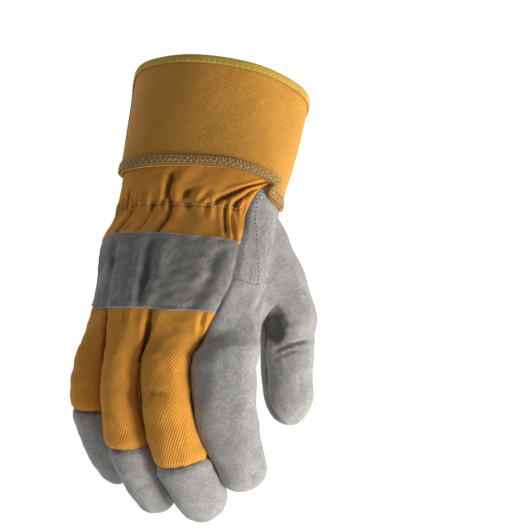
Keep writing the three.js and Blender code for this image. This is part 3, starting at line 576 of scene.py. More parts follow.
# The columns of the leather's stitched seam, by hand lengths above the wrist seam
SEAM_LINE = Curve([-0.6, -0.55, -0.32, -0.115, -0.03], [21.2, 21.1, 19.8, 18.95, 18.9])


class Panel(Enum):
    """The pieces that the skin is parted into."""

    LEATHER = 0
    MIDDLE_RING_FRONT = 1
    GATHER = 2
    UNDER_STRAP = 3
    BACK_CLOTH = 4
    LITTLE_TIP = 5
    RING_TIP = 6
    MIDDLE_TIP = 7
    THUMB_BACK = 8
    THUMB_FRONT = 9


TIPS = (Panel.LITTLE_TIP, Panel.RING_TIP, Panel.MIDDLE_TIP)


@dataclass
class Skin:
    """Points of a surface with what the materials and seams need at each, and triangles by panel."""

    points: list[np.ndarray] = field(default_factory=list)
    uv: list[np.ndarray] = field(default_factory=list)
    relief: list[np.ndarray] = field(default_factory=list)
    triangles: list[np.ndarray] = field(default_factory=list)
    panels: list[np.ndarray] = field(default_factory=list)
    count: int = 0

    def add(self, points: np.ndarray, uv: np.ndarray, relief: np.ndarray) -> np.ndarray:
        """Adds a grid of points, with cloth coordinates and relief in mm, and returns their numbers.

        Args:
            points: a grid of points in mm.
            uv: their cloth coordinates in mm.
            relief: how far each is to move out, in mm.
        Returns:
            The points' numbers.
        """
        shape = points.shape[:-1]
        self.points.append(points.reshape(-1, 3))
        self.uv.append(uv.reshape(-1, 2))
        self.relief.append(relief.reshape(-1))
        numbers = self.count + np.arange(int(np.prod(shape))).reshape(shape)
        self.count += numbers.size
        return numbers

    def join(self, grid: np.ndarray, panels: np.ndarray) -> None:
        """Joins a grid of numbers with two triangles a cell; panels holds each cell's panel.

        Args:
            grid: the points' numbers, rows first.
            panels: each cell's panel.
        """
        triangles = cells(grid)
        labels = np.concatenate([panels.ravel(), panels.ravel()])
        a, b, c = triangles.T
        sound = (a != b) & (b != c) & (c != a)
        self.triangles.append(triangles[sound])
        self.panels.append(labels[sound])

    def finished(self) -> tuple[np.ndarray, ...]:
        """Moves the points out by their relief.

        Returns:
            Points, cloth coordinates, outward directions, creases from 0 to 1, triangles and panels.
        """
        parts = (self.points, self.uv, self.relief, self.triangles, self.panels)
        points, uv, relief, triangles, panels = (np.concatenate(part) for part in parts)
        points = on_floor(points + vertex_normals(points, triangles) * relief[:, None])
        # How deep each point lies in a fold or seam, which sets how much painted shade the materials give it
        crease = np.clip((-relief - CREASE_START) / CREASE_REACH, 0, 1)
        return points, uv, vertex_normals(points, triangles), crease, triangles, panels


def vertex_normals(points: np.ndarray, triangles: np.ndarray) -> np.ndarray:
    """The mean direction of the triangles around each point, weighted by their areas."""
    a, b, c = (points[triangles[:, k]] for k in range(3))
    facing = np.cross(b - a, c - a)
    normals = np.zeros_like(points)
    for k in range(3):
        np.add.at(normals, triangles[:, k], facing)
    return unit(normals)


@dataclass
class Shell:
    """A closed wall: its points in mm, triangles, cloth coordinates, creases and the edges at its rims."""

    points: np.ndarray
    triangles: np.ndarray
    uv: np.ndarray
    crease: np.ndarray
    rims: np.ndarray

    @classmethod
    def of(cls, points: np.ndarray, triangles: np.ndarray, uv: np.ndarray, crease: np.ndarray,
           normals: np.ndarray, outward: float, inward: float) -> "Shell":
        """A sheet thickened along its normals, with rims along its open edges.

        Args:
            points: the whole sheet's points.
            triangles: the triangles of this piece.
            uv: cloth coordinates of the points.
            crease: how deep in a fold or seam each point lies, 0 to 1.
            normals: outward directions at the points.
            outward: how far the outer face lies outside the sheet.
            inward: how far the inner face lies inside it.
        Returns:
            The closed wall.
        """
        used, flat = np.unique(triangles, return_inverse=True)
        tris = flat.reshape(triangles.shape)
        n = len(used)
        edges = np.concatenate([tris[:, [0, 1]], tris[:, [1, 2]], tris[:, [2, 0]]])
        keys = edges[:, 0] * n + edges[:, 1]
        back = edges[:, 1] * n + edges[:, 0]
        rim = edges[~np.isin(keys, back)]
        a, b = rim[:, 0], rim[:, 1]
        sides = np.concatenate([np.stack([b, a, a + n], 1), np.stack([b, a + n, b + n], 1)])
        outer = points[used] + normals[used] * outward
        inner = points[used] - normals[used] * inward
        return cls(
            np.vstack([outer, inner]),
            np.concatenate([tris, tris[:, ::-1] + n, sides]),
            np.vstack([uv[used]] * 2),
            np.concatenate([crease[used]] * 2),
            np.concatenate([rim, rim + n]),
        )


def make_piece(name: str, shells: list[Shell], material: bpy.types.Material,
               nodes: tuple[str, ...] = ()) -> bpy.types.Object:
    """Puts shells into one mesh in the frame's metres, dresses it and rides it on the glove.

    Args:
        name: the piece's name.
        shells: the walls that it is made of.
        material: its finish.
        nodes: the CAD nodes that it stands for.
    Returns:
        The finished object.
    """
    offsets = np.cumsum([0] + [len(shell.points) for shell in shells])
    points = (np.vstack([shell.points for shell in shells]) + ORIGIN) * MM
    points[:, 2] = np.maximum(points[:, 2], 0.0)
    triangles = np.concatenate([s.triangles + o for s, o in zip(shells, offsets)])
    rims = np.concatenate([s.rims + o for s, o in zip(shells, offsets)])
    mesh = bpy.data.meshes.new(name)
    mesh.from_pydata(points.tolist(), [], triangles.tolist())
    mesh.shade_smooth()
    layer = mesh.uv_layers.new(name="cloth")
    corners = np.empty(len(mesh.loops), dtype=np.int32)
    mesh.loops.foreach_get("vertex_index", corners)
    uv = np.vstack([shell.uv for shell in shells]) * MM
    layer.data.foreach_set("uv", uv[corners].astype(np.float32).ravel())
    crease = mesh.attributes.new("crease", "FLOAT", "POINT")
    crease.data.foreach_set("value", np.concatenate([s.crease for s in shells]).astype(np.float32))
    if len(rims):
        ends = np.empty(len(mesh.edges) * 2, dtype=np.int32)
        mesh.edges.foreach_get("vertices", ends)
        ends = np.sort(ends.reshape(-1, 2).astype(np.int64), axis=1)
        rims = np.sort(rims, axis=1)
        sharp = np.isin(ends[:, 0] * len(points) + ends[:, 1], rims[:, 0] * len(points) + rims[:, 1])
        edge = mesh.attributes.new("sharp_edge", "BOOLEAN", "EDGE")
        edge.data.foreach_set("value", sharp)
    mesh.materials.append(material)
    piece = bpy.data.objects.new(name, mesh)
    bpy.context.scene.collection.objects.link(piece)
    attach(piece, "root")
    if nodes:
        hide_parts(*nodes)
    LOG.info("%s: %d triangles", name, len(triangles))
    return piece


@dataclass(frozen=True)
class Stitch:
    """A kind of stitch, in mm: its pitch, its length, the thread's radius and how far its middle lifts."""

    pitch: float
    length: float
    radius: float
    lift: float


def thread(path: np.ndarray, normals: np.ndarray, stitch: Stitch) -> Shell:
    """A row of stitches along a path: short tubes that rise from the surface and sink at both ends.

    Args:
        path: points in mm.
        normals: outward directions at the points.
        stitch: the kind of stitch.
    Returns:
        All the stitches as one shell with no rims.
    """
    along = lengths_along(path)
    count = max(int(along[-1] / stitch.pitch), 1)
    middles = (np.arange(count) + 0.5) * along[-1] / count
    rings = 7
    sides = 6
    t = np.linspace(-1, 1, rings)
    where = middles[:, None] + t[None, :] * stitch.length / 2
    spots = on_line(where, along, path)
    out = unit(on_line(where, along, normals))
    ahead = unit(np.gradient(spots, axis=1))
    aside = unit(np.cross(out, ahead))
    rise = stitch.radius * 0.3 + stitch.lift * (1 - t ** 2) - 2.2 * stitch.radius * np.abs(t) ** 5
    spots = spots + out * rise[None, :, None]
    angle = np.linspace(0, 2 * np.pi, sides, endpoint=False)
    girth = stitch.radius * np.sqrt(np.clip(1.06 - t ** 2, 0, 1)) ** 0.6
    ring = aside[:, :, None, :] * np.cos(angle)[:, None] + out[:, :, None, :] * np.sin(angle)[:, None]
    points = spots[:, :, None, :] + ring * girth[None, :, None, None]
    number = np.arange(rings * sides).reshape(rings, sides)
    around = np.concatenate([number, number[:, :1]], axis=1)
    fan = np.arange(1, sides - 1)
    first = np.stack([np.zeros_like(fan), fan + 1, fan], axis=1)
    last = number[-1, 0] + np.stack([np.zeros_like(fan), fan, fan + 1], axis=1)
    tris = np.concatenate([cells(around.T), first, last])
    offsets = np.arange(count)[:, None, None] * (rings * sides)
    everything = (tris[None] + offsets).reshape(-1, 3)
    flat = points.reshape(-1, 3)
    uv = np.stack([np.repeat(where, sides, axis=1).ravel(), np.tile(angle, count * rings)], axis=1)
    return Shell(flat, everything, uv, np.zeros(len(flat)), np.zeros((0, 2), dtype=np.int64))


@dataclass
class HandSkin:
    """The skin of hand and fingers on one comb of grids, which meet in shared points."""

    hand: HandForm
    columns_per_unit: int = 6
    row_mm: float = 1.15
    finger_rows: int = 100
    strap_top: float = -0.37
    strap_end: float = -0.745
    front_line: float = -0.93
    gather_line: float = -0.172
    wrist_line: float = 0.07
    under_strap: float = 0.7
    index_swell: float = 4.6
    gap_swell: float = 1.6
    tip_rows: int = 16

    def rows(self) -> np.ndarray:
        """The rows' distances from the wrist seam, with a row on each cross seam."""
        marks = [self.wrist_line, self.gather_line, self.strap_top, self.strap_end, self.front_line,
                 KNUCKLE_SHARE]
        parts = []
        for a, b in zip(marks[:-1], marks[1:]):
            steps = max(int(round((a - b) * HAND_LENGTH / self.row_mm)), 2)
            parts.append(np.linspace(a, b, steps, endpoint=False))
        return np.concatenate([*parts, [KNUCKLE_SHARE]]) * HAND_LENGTH

    def ruffle(self, column: np.ndarray, y: np.ndarray) -> np.ndarray:
        """Small gathers across the elastic: two waves over the columns that fade away from its line."""
        away = (y / HAND_LENGTH - self.gather_line) * HAND_LENGTH
        lean = column + 0.035 * away
        wave = np.sin(lean * 6.4 + 1.1 * np.sin(lean * 1.7)) + 0.45 * np.sin(lean * 10.3 + 2.0)
        near = np.exp(-np.abs(away / 5.0) ** 1.6)
        ends = smooth(column / 1.2) * smooth((BACK_PANEL - column) / 1.0)
        return (0.8 * wave * near - 0.75 * bell(away, 1.5)) * ends

    def relief(self, points: np.ndarray, column: np.ndarray, y: np.ndarray) -> np.ndarray:
        """The hand's folds and sewn valleys, as a height in mm.

        Args:
            points: the surface before it is worked, in mm.
            column: columns around the hand.
            y: distances from the wrist seam in mm, below 0 towards the fingers.
        Returns:
            Heights in mm.
        """
        cloth = column < BACK_PANEL
        gather = cloth & (y > self.strap_top * HAND_LENGTH)
        below = cloth & (y < self.strap_end * HAND_LENGTH)
        covered = cloth & ~gather & ~below
        total = 0.35 * waves(points, 26.0, 3) + 0.16 * waves(points, 9.0, 4)
        for family, here in (
            (GATHER_FOLDS, gather),
            (KNUCKLE_FOLDS, below),
            (LEATHER_FOLDS, ~cloth),
            (STRAP_FOLDS, covered),
        ):
            for fold in family:
                total = total + np.where(here, fold.at(column, y), 0.0)
        total = total + np.where(gather, self.ruffle(column, y), 0.0)
        total = total - np.where(covered, self.under_strap, 0.0)
        side = np.abs(column - BACK_PANEL) * COLUMN_MM * np.where(cloth, 1.0, 0.6)
        total = total + pinch(side, 0.75, 1.0)
        edge = np.minimum(column, ALL_COLUMNS - column) * COLUMN_MM
        total = total + pinch(edge, 0.9, 1.2)
        front = self.front_line * HAND_LENGTH
        under = (column > FRONT_COLUMNS[0]) & (column < FRONT_COLUMNS[1]) & (y < front + 12)
        total = total + np.where(under, pinch(np.abs(y - front), 0.8, 1.2), 0.0)
        return total * smooth((0.05 * HAND_LENGTH - y) / 6.0 + 0.2)

    def finger_relief(self, index: int, points: np.ndarray, share: np.ndarray,
                      around: np.ndarray, side: np.ndarray) -> np.ndarray:
        """A finger's sewn valleys along both sides and at its tip's seam, and soft creases.

        Args:
            index: 0 for the little finger to 3 for the index finger.
            points: the surface before it is worked, in mm.
            share: share of the finger's length.
            around: 0 at the little finger's side, 1 at the thumb's side.
            side: 1 on the back, -1 on the front.
        Returns:
            Heights in mm.
        """
        digit = FINGERS[index]
        length = digit.length * PALM_WIDTH
        total = 0.3 * waves(points, 21.0, 11 + index) + 0.14 * waves(points, 8.0, 21 + index)
        edge = np.minimum(around, 1 - around) * FINGER_GIRTH
        fade = smooth(share / 0.06)
        if index < 3:
            total = total + pinch(edge, 1.2, 1.3) * fade
            seam = np.abs(share - digit.seam) * length
            total = total + np.where(side > 0, pinch(seam, 1.3, 1.35), 0.0)
            low = np.clip(share / digit.seam, 0, 1)
            bow = np.sin(np.pi * around) * np.where(side > 0, 1.0, 0.0)
            for place, depth in ((0.36, 0.45), (0.62, 0.35)):
                total = total - depth * bow * bell((low - place) * digit.seam * length, 2.2)
        else:
            total = total + np.where(side < 0, pinch(edge, 0.8, 1.1), 0.0) * fade
        if index == 3:
            near = bell(around * FINGER_GIRTH, 10.0)
            ends = 1 - smooth((share - 0.5) / 0.35)
            total = total + self.index_swell * near * smooth(share / 0.12) * ends
        if index in (1, 2):
            inner = around if index == 2 else 1 - around
            ends = 1 - smooth((share - 0.45) / 0.2)
            close = bell(inner * FINGER_GIRTH, 7.0) * smooth(share / 0.1) * ends
            total = total + np.where(side < 0, self.gap_swell * close, 0.0)
        if index == 2:
            outer = bell((1 - around) * FINGER_GIRTH, 7.0)
            total = total + 0.8 * outer * smooth(share / 0.15)
        for place, depth in ((0.3, 1.0), (0.56, 0.8), (0.66, 0.5)):
            crease = bell((share - place) * length, 1.8) * np.sin(np.pi * around) ** 2
            total = total - np.where(side < 0, depth * crease, 0.0)
        return total

    def cloth_lengths(self, points: np.ndarray) -> np.ndarray:
        """Cloth coordinates by true length: across from the back's middle and along from the wrist.

        Args:
            points: the hand's grid of points, rows first.
        Returns:
            Both coordinates in mm, the second evened out over neighbouring columns.
        """
        across = lengths_along(points, 1)
        along = lengths_along(points, 0)
        middle = int(BACK_PANEL / 2) * self.columns_per_unit
        reach = 3 * self.columns_per_unit
        window = np.hanning(2 * reach + 1)
        padded = np.pad(along, ((0, 0), (reach, reach)), mode="edge")
        parts = [padded[:, k:k + points.shape[1]] * weight for k, weight in enumerate(window)]
        return np.stack([across - across[:, middle:middle + 1], sum(parts) / window.sum()], axis=-1)

    def build(self) -> Skin:
        """The whole comb: the hand's grid, then each finger's rings from its knuckle outline to its tip."""
        skin = Skin()
        n = int(ALL_COLUMNS) * self.columns_per_unit
        column = np.arange(n) / self.columns_per_unit
        y = self.rows()
        columns, ys = np.meshgrid(column, y)
        points = self.hand.point(columns, ys)
        uv = self.cloth_lengths(points)
        grid = skin.add(points, uv, self.relief(points, columns, ys))
        per = int(PER_FINGER) * self.columns_per_unit
        for finger in (1, 2, 3):
            grid[-1, n - finger * per] = grid[-1, finger * per]
        ring = np.concatenate([grid, grid[:, :1]], axis=1)
        mid = columns[:-1] + 0.5 / self.columns_per_unit
        low = (ys[:-1] + ys[1:]) / 2 / HAND_LENGTH
        label = np.full(mid.shape, Panel.LEATHER.value)
        cloth = mid < BACK_PANEL
        label[cloth] = Panel.BACK_CLOTH.value
        label[cloth & (low > self.strap_end)] = Panel.UNDER_STRAP.value
        label[cloth & (low > self.strap_top)] = Panel.GATHER.value
        front = (mid > FRONT_COLUMNS[0]) & (mid < FRONT_COLUMNS[1]) & (low < self.front_line)
        label[front] = Panel.MIDDLE_RING_FRONT.value
        skin.join(ring, label)
        for index, form in enumerate(self.hand.fingers):
            self.add_finger(skin, index, form, ring[-1], uv[-1])
        return skin

    def finger_shares(self, digit: Digit) -> np.ndarray:
        """The rings' places along a finger: even, with one on the tip's seam, and closer over the tip."""
        body = int(self.finger_rows * digit.length)
        straight = 1 - DOME
        dome = 1 - DOME * (1 - np.sin(np.linspace(0, np.pi / 2, self.tip_rows)))
        if digit.seam >= 1:
            return np.concatenate([np.linspace(0, straight, int(body * 0.85), endpoint=False), dome])
        return np.concatenate([
            np.linspace(0, digit.seam, int(body * digit.seam), endpoint=False),
            np.linspace(digit.seam, straight, int(body * (straight - digit.seam)), endpoint=False),
            dome,
        ])

    def add_finger(self, skin: Skin, index: int, form: FingerForm, last: np.ndarray,
                   ends: np.ndarray) -> None:
        """Adds one finger's rings and joins them to the hand's last row.

        Args:
            skin: the skin that the finger is added to.
            index: 0 for the little finger to 3 for the index finger.
            form: the finger's surface.
            last: numbers of the points in the hand's last row.
            ends: that row's cloth coordinates, from which the finger's go on.
        """
        digit = FINGERS[index]
        shares = self.finger_shares(digit)
        per = int(PER_FINGER) * self.columns_per_unit
        step = np.arange(2 * per)
        side = np.where(step < per, 1.0, -1.0)
        around = np.where(step < per, step / per, 2 - step / per)
        share, arounds = np.meshgrid(shares[1:-1], around)
        share, arounds = share.T, arounds.T
        sides = np.broadcast_to(side, share.shape)
        points = form.point(share, arounds, sides)
        start = index * per
        back = ends[start:start + per + 1]
        across = lengths_along(points, 1)
        level = lerp(np.interp(around, np.linspace(0, 1, per + 1), back[:, 1]),
                     back[:, 1].mean(), smooth(share / 0.5))
        uv = np.stack([
            back[per // 2, 0] + across - across[:, per // 2:per // 2 + 1],
            level + share * digit.length * PALM_WIDTH,
        ], axis=-1)
        relief = self.finger_relief(index, points, share, arounds, sides)
        rings = skin.add(points, uv, relief)
        pole = form.point(1.0, 0.5, 1.0)[None, None]
        tip = skin.add(pole, uv[-1:, per // 2:per // 2 + 1], np.zeros((1, 1)))
        total = len(last) - 1
        root = np.concatenate([last[start:start + per], last[total - start - per:total - start]])
        grid = np.vstack([root, rings, np.full(2 * per, tip[0, 0])])
        grid = np.concatenate([grid, grid[:, :1]], axis=1)
        grid[0, -1] = last[total - start] if start else last[0]
        middle = (shares[:-1] + shares[1:]) / 2
        back = np.broadcast_to(step < per, (len(middle), 2 * per))
        beyond = np.broadcast_to((middle > digit.seam)[:, None], back.shape)
        if index == 3:
            label = np.full(back.shape, Panel.LEATHER.value)
        else:
            front = Panel.LEATHER if index == 0 else Panel.MIDDLE_RING_FRONT
            covered = np.where(beyond, TIPS[index].value, Panel.BACK_CLOTH.value)
            label = np.where(back, covered, front.value)
        skin.join(grid, label)


@dataclass
class ThumbSkin:
    """The thumb's skin on one grid from its root loop to its tip."""

    thumb: ThumbForm
    columns: int = 88
    root_rows: int = 30
    body_rows: int = 44
    dome_rows: int = 14
    web_hollow: float = 2.7

    def relief(self, points: np.ndarray, level: np.ndarray, around: np.ndarray) -> np.ndarray:
        """The thumb's seams along both sides, its wrinkles at the web and soft unevenness.

        Args:
            points: the surface before it is worked, in mm.
            level: share of the thumb's length.
            around: place around the thumb, 0 to 1.
        Returns:
            Heights in mm.
        """
        total = 0.35 * waves(points, 24.0, 31) + 0.14 * waves(points, 8.0, 32)
        apart = np.minimum(around, np.minimum(np.abs(around - 0.5), 1 - around)) * THUMB_GIRTH
        total = total + pinch(apart, 1.25, 1.2) * smooth((level - 0.2) / 0.15)
        hollow = bell(around - 0.09, 0.08)
        inside = smooth((level - 0.4 * self.thumb.SHARE) / 0.14)
        total = total - self.web_hollow * hollow * inside * (1 - smooth((level - 0.5) / 0.1))
        reach = bell(around - 0.22, 0.12)
        for low, depth, width in ((0.6, 1.3, 0.014), (0.645, 0.6, 0.012), (0.47, 0.6, 0.02)):
            bend = low - 0.32 * (around - 0.13)
            total = total - depth * reach * bell(level - bend, width)
        return total * smooth(level / 0.06)

    def build(self) -> Skin:
        """The root's rows, the tube's rows and the tip, closed in a pole."""
        skin = Skin()
        around = np.arange(self.columns) / self.columns
        t = np.linspace(0, 1, self.root_rows, endpoint=False)
        root = self.thumb.root(around[None, :], t[:, None] + 0 * around[None, :])
        loop = root[0]
        middle = loop.mean(axis=0)
        root[0] = loop + unit(middle - loop) * -1.2 + np.array([-0.9, 0.0, 0.0])
        body = np.linspace(self.thumb.SHARE, 1 - THUMB_DOME, self.body_rows, endpoint=False)
        dome = 1 - THUMB_DOME * (1 - np.sin(np.linspace(0, np.pi / 2, self.dome_rows)))
        shares = np.concatenate([body, dome[:-1]])
        tube = self.thumb.tube(shares[:, None] + 0 * around[None, :], around[None, :] + 0 * shares[:, None])
        points = np.concatenate([root, tube])
        level = np.concatenate([t * self.thumb.SHARE, shares])
        levels = np.repeat(level[:, None], self.columns, axis=1)
        arounds = np.broadcast_to(around, levels.shape)
        uv = np.stack([arounds * THUMB_GIRTH, levels * THUMB.length * PALM_WIDTH], axis=-1)
        grid = skin.add(points, uv, self.relief(points, levels, arounds))
        pole = self.thumb.tube(np.array([1.0]), np.array([0.0]))[None]
        tip = skin.add(pole, uv[-1:, :1], np.zeros((1, 1)))
        grid = np.vstack([grid, np.full(self.columns, tip[0, 0])])
        grid = np.concatenate([grid, grid[:, :1]], axis=1)
        half = np.arange(self.columns) < self.columns // 2
        early = np.arange(len(level)) < self.root_rows // 2
        label = np.where(half | early[:, None], Panel.THUMB_BACK.value, Panel.THUMB_FRONT.value)
        skin.join(grid, label)
        return skin


@dataclass(frozen=True)
class Cut:
    """A piece cut from a skin: its panels, its finish, the record's slot and the CAD nodes it stands for."""

    name: str
    panels: tuple[Panel, ...]
    finish: str
    slot: str
    nodes: tuple[str, ...]

    def make(self, sheet: tuple[np.ndarray, ...], wall: float,
             finishes: Finishes) -> bpy.types.Object:
        """Cuts the piece out and gives it a wall.

        Args:
            sheet: the whole skin, as Skin.finished gives it.
            wall: how far the wall reaches inwards, in mm.
            finishes: all the finishes by name.
        Returns:
            The finished object.
        """
        points, uv, normals, crease, triangles, panels = sheet
        mine = triangles[np.isin(panels, [panel.value for panel in self.panels])]
        shell = Shell.of(points, mine, uv, crease, normals, 0.0, wall)
        return make_piece(self.name, [shell], finishes[self.finish], self.nodes)


HAND_CUTS = (
    Cut("palm_and_index_leather", (Panel.LEATHER,), "grey_leather", "grey_leather",
        ("palm_leather", "index_finger", "little_front")),
    Cut("middle_ring_leather", (Panel.MIDDLE_RING_FRONT,), "grey_leather", "grey_leather",
        ("middle_ring_front",)),
    Cut("gathered_twill", (Panel.GATHER,), "gathered_twill", "orange_twill", ("back_gather",)),
    Cut("finger_twill", (Panel.BACK_CLOTH, Panel.UNDER_STRAP), "orange_twill", "orange_twill",
        ("back_cloth",)),
    Cut("little_cap", (Panel.LITTLE_TIP,), "grey_leather", "grey_leather", ("little_tip",)),
    Cut("ring_cap", (Panel.RING_TIP,), "grey_leather", "grey_leather", ("ring_tip",)),
    Cut("middle_cap", (Panel.MIDDLE_TIP,), "grey_leather", "grey_leather", ("middle_tip",)),
)
THUMB_CUTS = (
    Cut("thumb_and_root_leather", (Panel.THUMB_BACK,), "grey_leather", "grey_leather",
        ("thumb_root", "thumb_back")),
    Cut("thumb_palm_leather", (Panel.THUMB_FRONT,), "grey_leather", "grey_leather", ("thumb_front",)),
)


@dataclass
class HandPieces:
    """Leather, cloth and strap of the hand and the fingers, with their stitches."""

    hand: HandForm
    skin: HandSkin
    leather: float = 1.5
    cloth: float = 1.2
    strap_raised: float = 0.9
    strap_overlap: float = 1.3
    strap_wall: float = 1.3
    thumb_hole: float = 19.0
    thumb_hole_share: float = 0.62
    thumb_side: float = 20.0
    seam_stitch: Stitch = Stitch(2.4, 1.5, 0.22, 0.1)
    flat_stitch: Stitch = Stitch(2.4, 1.3, 0.15, 0.06)
    cross_stitch: Stitch = Stitch(1.7, 1.2, 0.22, 0.1)
    elastic_stitch: Stitch = Stitch(2.4, 1.9, 0.32, 0.35)
    strap_stitch: Stitch = Stitch(2.3, 1.6, 0.17, 0.05)

    def build(self, finishes: Finishes) -> None:
        """Parts the skin into its pieces and lays the strap over the knuckles."""
        points, uv, normals, crease, triangles, panels = self.skin.build().finished()
        triangles, panels = self.open_for_thumb(points, triangles, panels)
        sheet = (points, uv, normals, crease, triangles, panels)
        for cut in HAND_CUTS:
            wall = self.leather if cut.finish == "grey_leather" else self.cloth
            cut.make(sheet, wall, finishes)
        top, end = self.skin.strap_top, self.skin.strap_end
        self.width_at(top)
        self.width_at(end)
        self.build_strap(finishes)
        self.build_seams(finishes)

    def width_at(self, level: float) -> float:
        """The back cloth's width over the hand at a level given in hand lengths, in metres."""
        column = np.linspace(0, BACK_PANEL, 91)
        path = self.hand.point(column, np.full(91, level * HAND_LENGTH))
        return length_of(path) * MM

    def open_for_thumb(self, points: np.ndarray, triangles: np.ndarray,
                       panels: np.ndarray) -> tuple[np.ndarray, np.ndarray]:
        """Leaves out the leather inside the thumb's root: an ellipse on the hand's side.

        Args:
            points: the skin's points.
            triangles: its triangles.
            panels: their panels.
        Returns:
            The triangles that stay, and their panels.
        """
        centre = points[triangles].mean(axis=1)
        along = (centre[:, 1] / HAND_LENGTH - ThumbForm.ROOT_ALONG) / ThumbForm.ROOT_REACH
        middle = self.hand.section(np.array(1 - abs(ThumbForm.ROOT_ACROSS)),
                                   centre[:, 1], np.array(-1.0))
        away = np.linalg.norm((centre - middle)[:, [0, 2]], axis=1)
        near = along ** 2 + (away / self.thumb_hole) ** 2 < self.thumb_hole_share
        inside = near & (centre[:, 0] > self.thumb_side)
        keep = ~(inside & (panels == Panel.LEATHER.value))
        return triangles[keep], panels[keep]

    def strap_height(self, column: np.ndarray, y: np.ndarray) -> np.ndarray:
        """The strap's height over the skin: raised, dented by its folds and held down in the side seams.

        Args:
            column: columns around the hand.
            y: distances from the wrist seam in mm, below 0 towards the fingers.
        Returns:
            Heights in mm.
        """
        base = self.hand.point(column, y)
        total = self.strap_raised + 0.3 * waves(base, 24.0, 41) + 0.16 * waves(base, 8.0, 42)
        for fold in STRAP_FOLDS:
            total = total + fold.at(column, y)
        ends = np.minimum(column, BACK_PANEL - column) * COLUMN_MM
        total = total - 1.2 * bell(ends, 1.3)
        top = (self.skin.strap_top * HAND_LENGTH + self.strap_overlap) - y
        low = y - (self.skin.strap_end * HAND_LENGTH - self.strap_overlap)
        return total - 0.25 * bell(np.minimum(top, low) - 2.0, 0.7)

    def build_strap(self, finishes: Finishes) -> None:
        """The leather strap across the knuckles, on a grid of its own that laps over the cloth."""
        top = self.skin.strap_top * HAND_LENGTH + self.strap_overlap
        end = self.skin.strap_end * HAND_LENGTH - self.strap_overlap
        column, y = np.meshgrid(np.linspace(0.02, BACK_PANEL - 0.02, 110), np.linspace(top, end, 52))
        height = self.strap_height(column, y)
        wavy = 0.16 * np.sin(column * 1.3) + 0.08 * np.sin(column * 4.7)
        edge = smooth((np.abs(y - (top + end) / 2) - (top - end) / 2 + 6) / 6)
        points = self.hand.point(column, y + wavy * edge) + self.hand.normal(column, y) * height[..., None]
        # Painted shade where the strap dips below its raised height: in its dents and where it is held down
        # at its ends and edges
        shell = grid_shell(points, np.stack([column * COLUMN_MM, -y], -1),
                           np.clip((self.strap_raised - height) / 1.6, 0, 1), 0.0, self.strap_wall)
        make_piece("knuckle_strap_leather", [shell], finishes["strap_leather"],
                   ("knuckle_strap",))

    def seam_path(self, column: np.ndarray, y: np.ndarray, height: float) -> tuple[np.ndarray, np.ndarray]:
        """A line on the hand's skin, raised by a height, and the outward directions along it."""
        normals = self.hand.normal(column, y)
        base = self.hand.point(column, y)
        relief = self.skin.relief(base, column, y)
        return base + normals * (relief + height)[:, None], normals

    def build_seams(self, finishes: Finishes) -> None:
        """The stitches that show: along the leather's seam, along the elastic and along the strap."""
        share = np.linspace(0, 1, 160)
        y = lerp(-0.06, -0.555, share) * HAND_LENGTH
        seam = self.seam_path(SEAM_LINE(y / HAND_LENGTH), y, 0.05)
        beside = self.seam_path(lerp(18.55, 18.5, share), lerp(-0.1, -0.54, share) * HAND_LENGTH, 0.02)
        column = lerp(18.35, 21.1, share[:60] / share[59])
        cross = self.seam_path(column, np.full(column.shape, -0.557 * HAND_LENGTH), 0.05)
        rows = [thread(*seam, self.seam_stitch), thread(*beside, self.flat_stitch),
                thread(*cross, self.cross_stitch)]
        make_piece("seam_stitches", rows, finishes["dark_thread"])
        column = np.linspace(0.5, BACK_PANEL - 0.4, 420)
        y = self.skin.gather_line * HAND_LENGTH + 0.25 * np.sin(column * 6.0)
        elastic = thread(*self.seam_path(column, y, 0.4), self.elastic_stitch)
        make_piece("elastic_stitches", [elastic], finishes["orange_thread"])
        rows = []
        column = np.linspace(0.6, BACK_PANEL - 0.5, 260)
        for edge, inset in ((self.skin.strap_top, -1.2), (self.skin.strap_end, 1.2)):
            y = np.full(column.shape, edge * HAND_LENGTH + inset)
            normals = self.hand.normal(column, y)
            path = self.hand.point(column, y) + normals * self.strap_height(column, y)[:, None]
            rows.append(thread(path, normals, self.strap_stitch))
        make_piece("strap_stitches", rows, finishes["grey_thread"])


def grid_shell(points: np.ndarray, uv: np.ndarray, crease: np.ndarray, outward: float,
               inward: float) -> Shell:
    """A grid of points, rows first, thickened into a closed wall whose normals face out of the hand.

    Args:
        points: the points in mm.
        uv: their cloth coordinates in mm.
        crease: how deep in a fold each lies, 0 to 1.
        outward: how far the outer face lies outside the points.
        inward: how far the inner face lies inside them.
    Returns:
        The closed wall.
    """
    rows, columns = points.shape[:2]
    triangles = cells(np.arange(rows * columns).reshape(rows, columns))
    flat = points.reshape(-1, 3)
    normals = vertex_normals(flat, triangles)
    return Shell.of(flat, triangles, uv.reshape(-1, 2), crease.reshape(-1), normals, outward, inward)


@dataclass
class ThumbPieces:
    """The thumb's two leather halves, sewn along both sides."""

    skin: ThumbSkin
    leather: float = 1.5

    def build(self, finishes: Finishes) -> None:
        """Parts the thumb's skin in the half with its root and the half on the palm's side."""
        sheet = self.skin.build().finished()
        for cut in THUMB_CUTS:
            cut.make(sheet, self.leather, finishes)


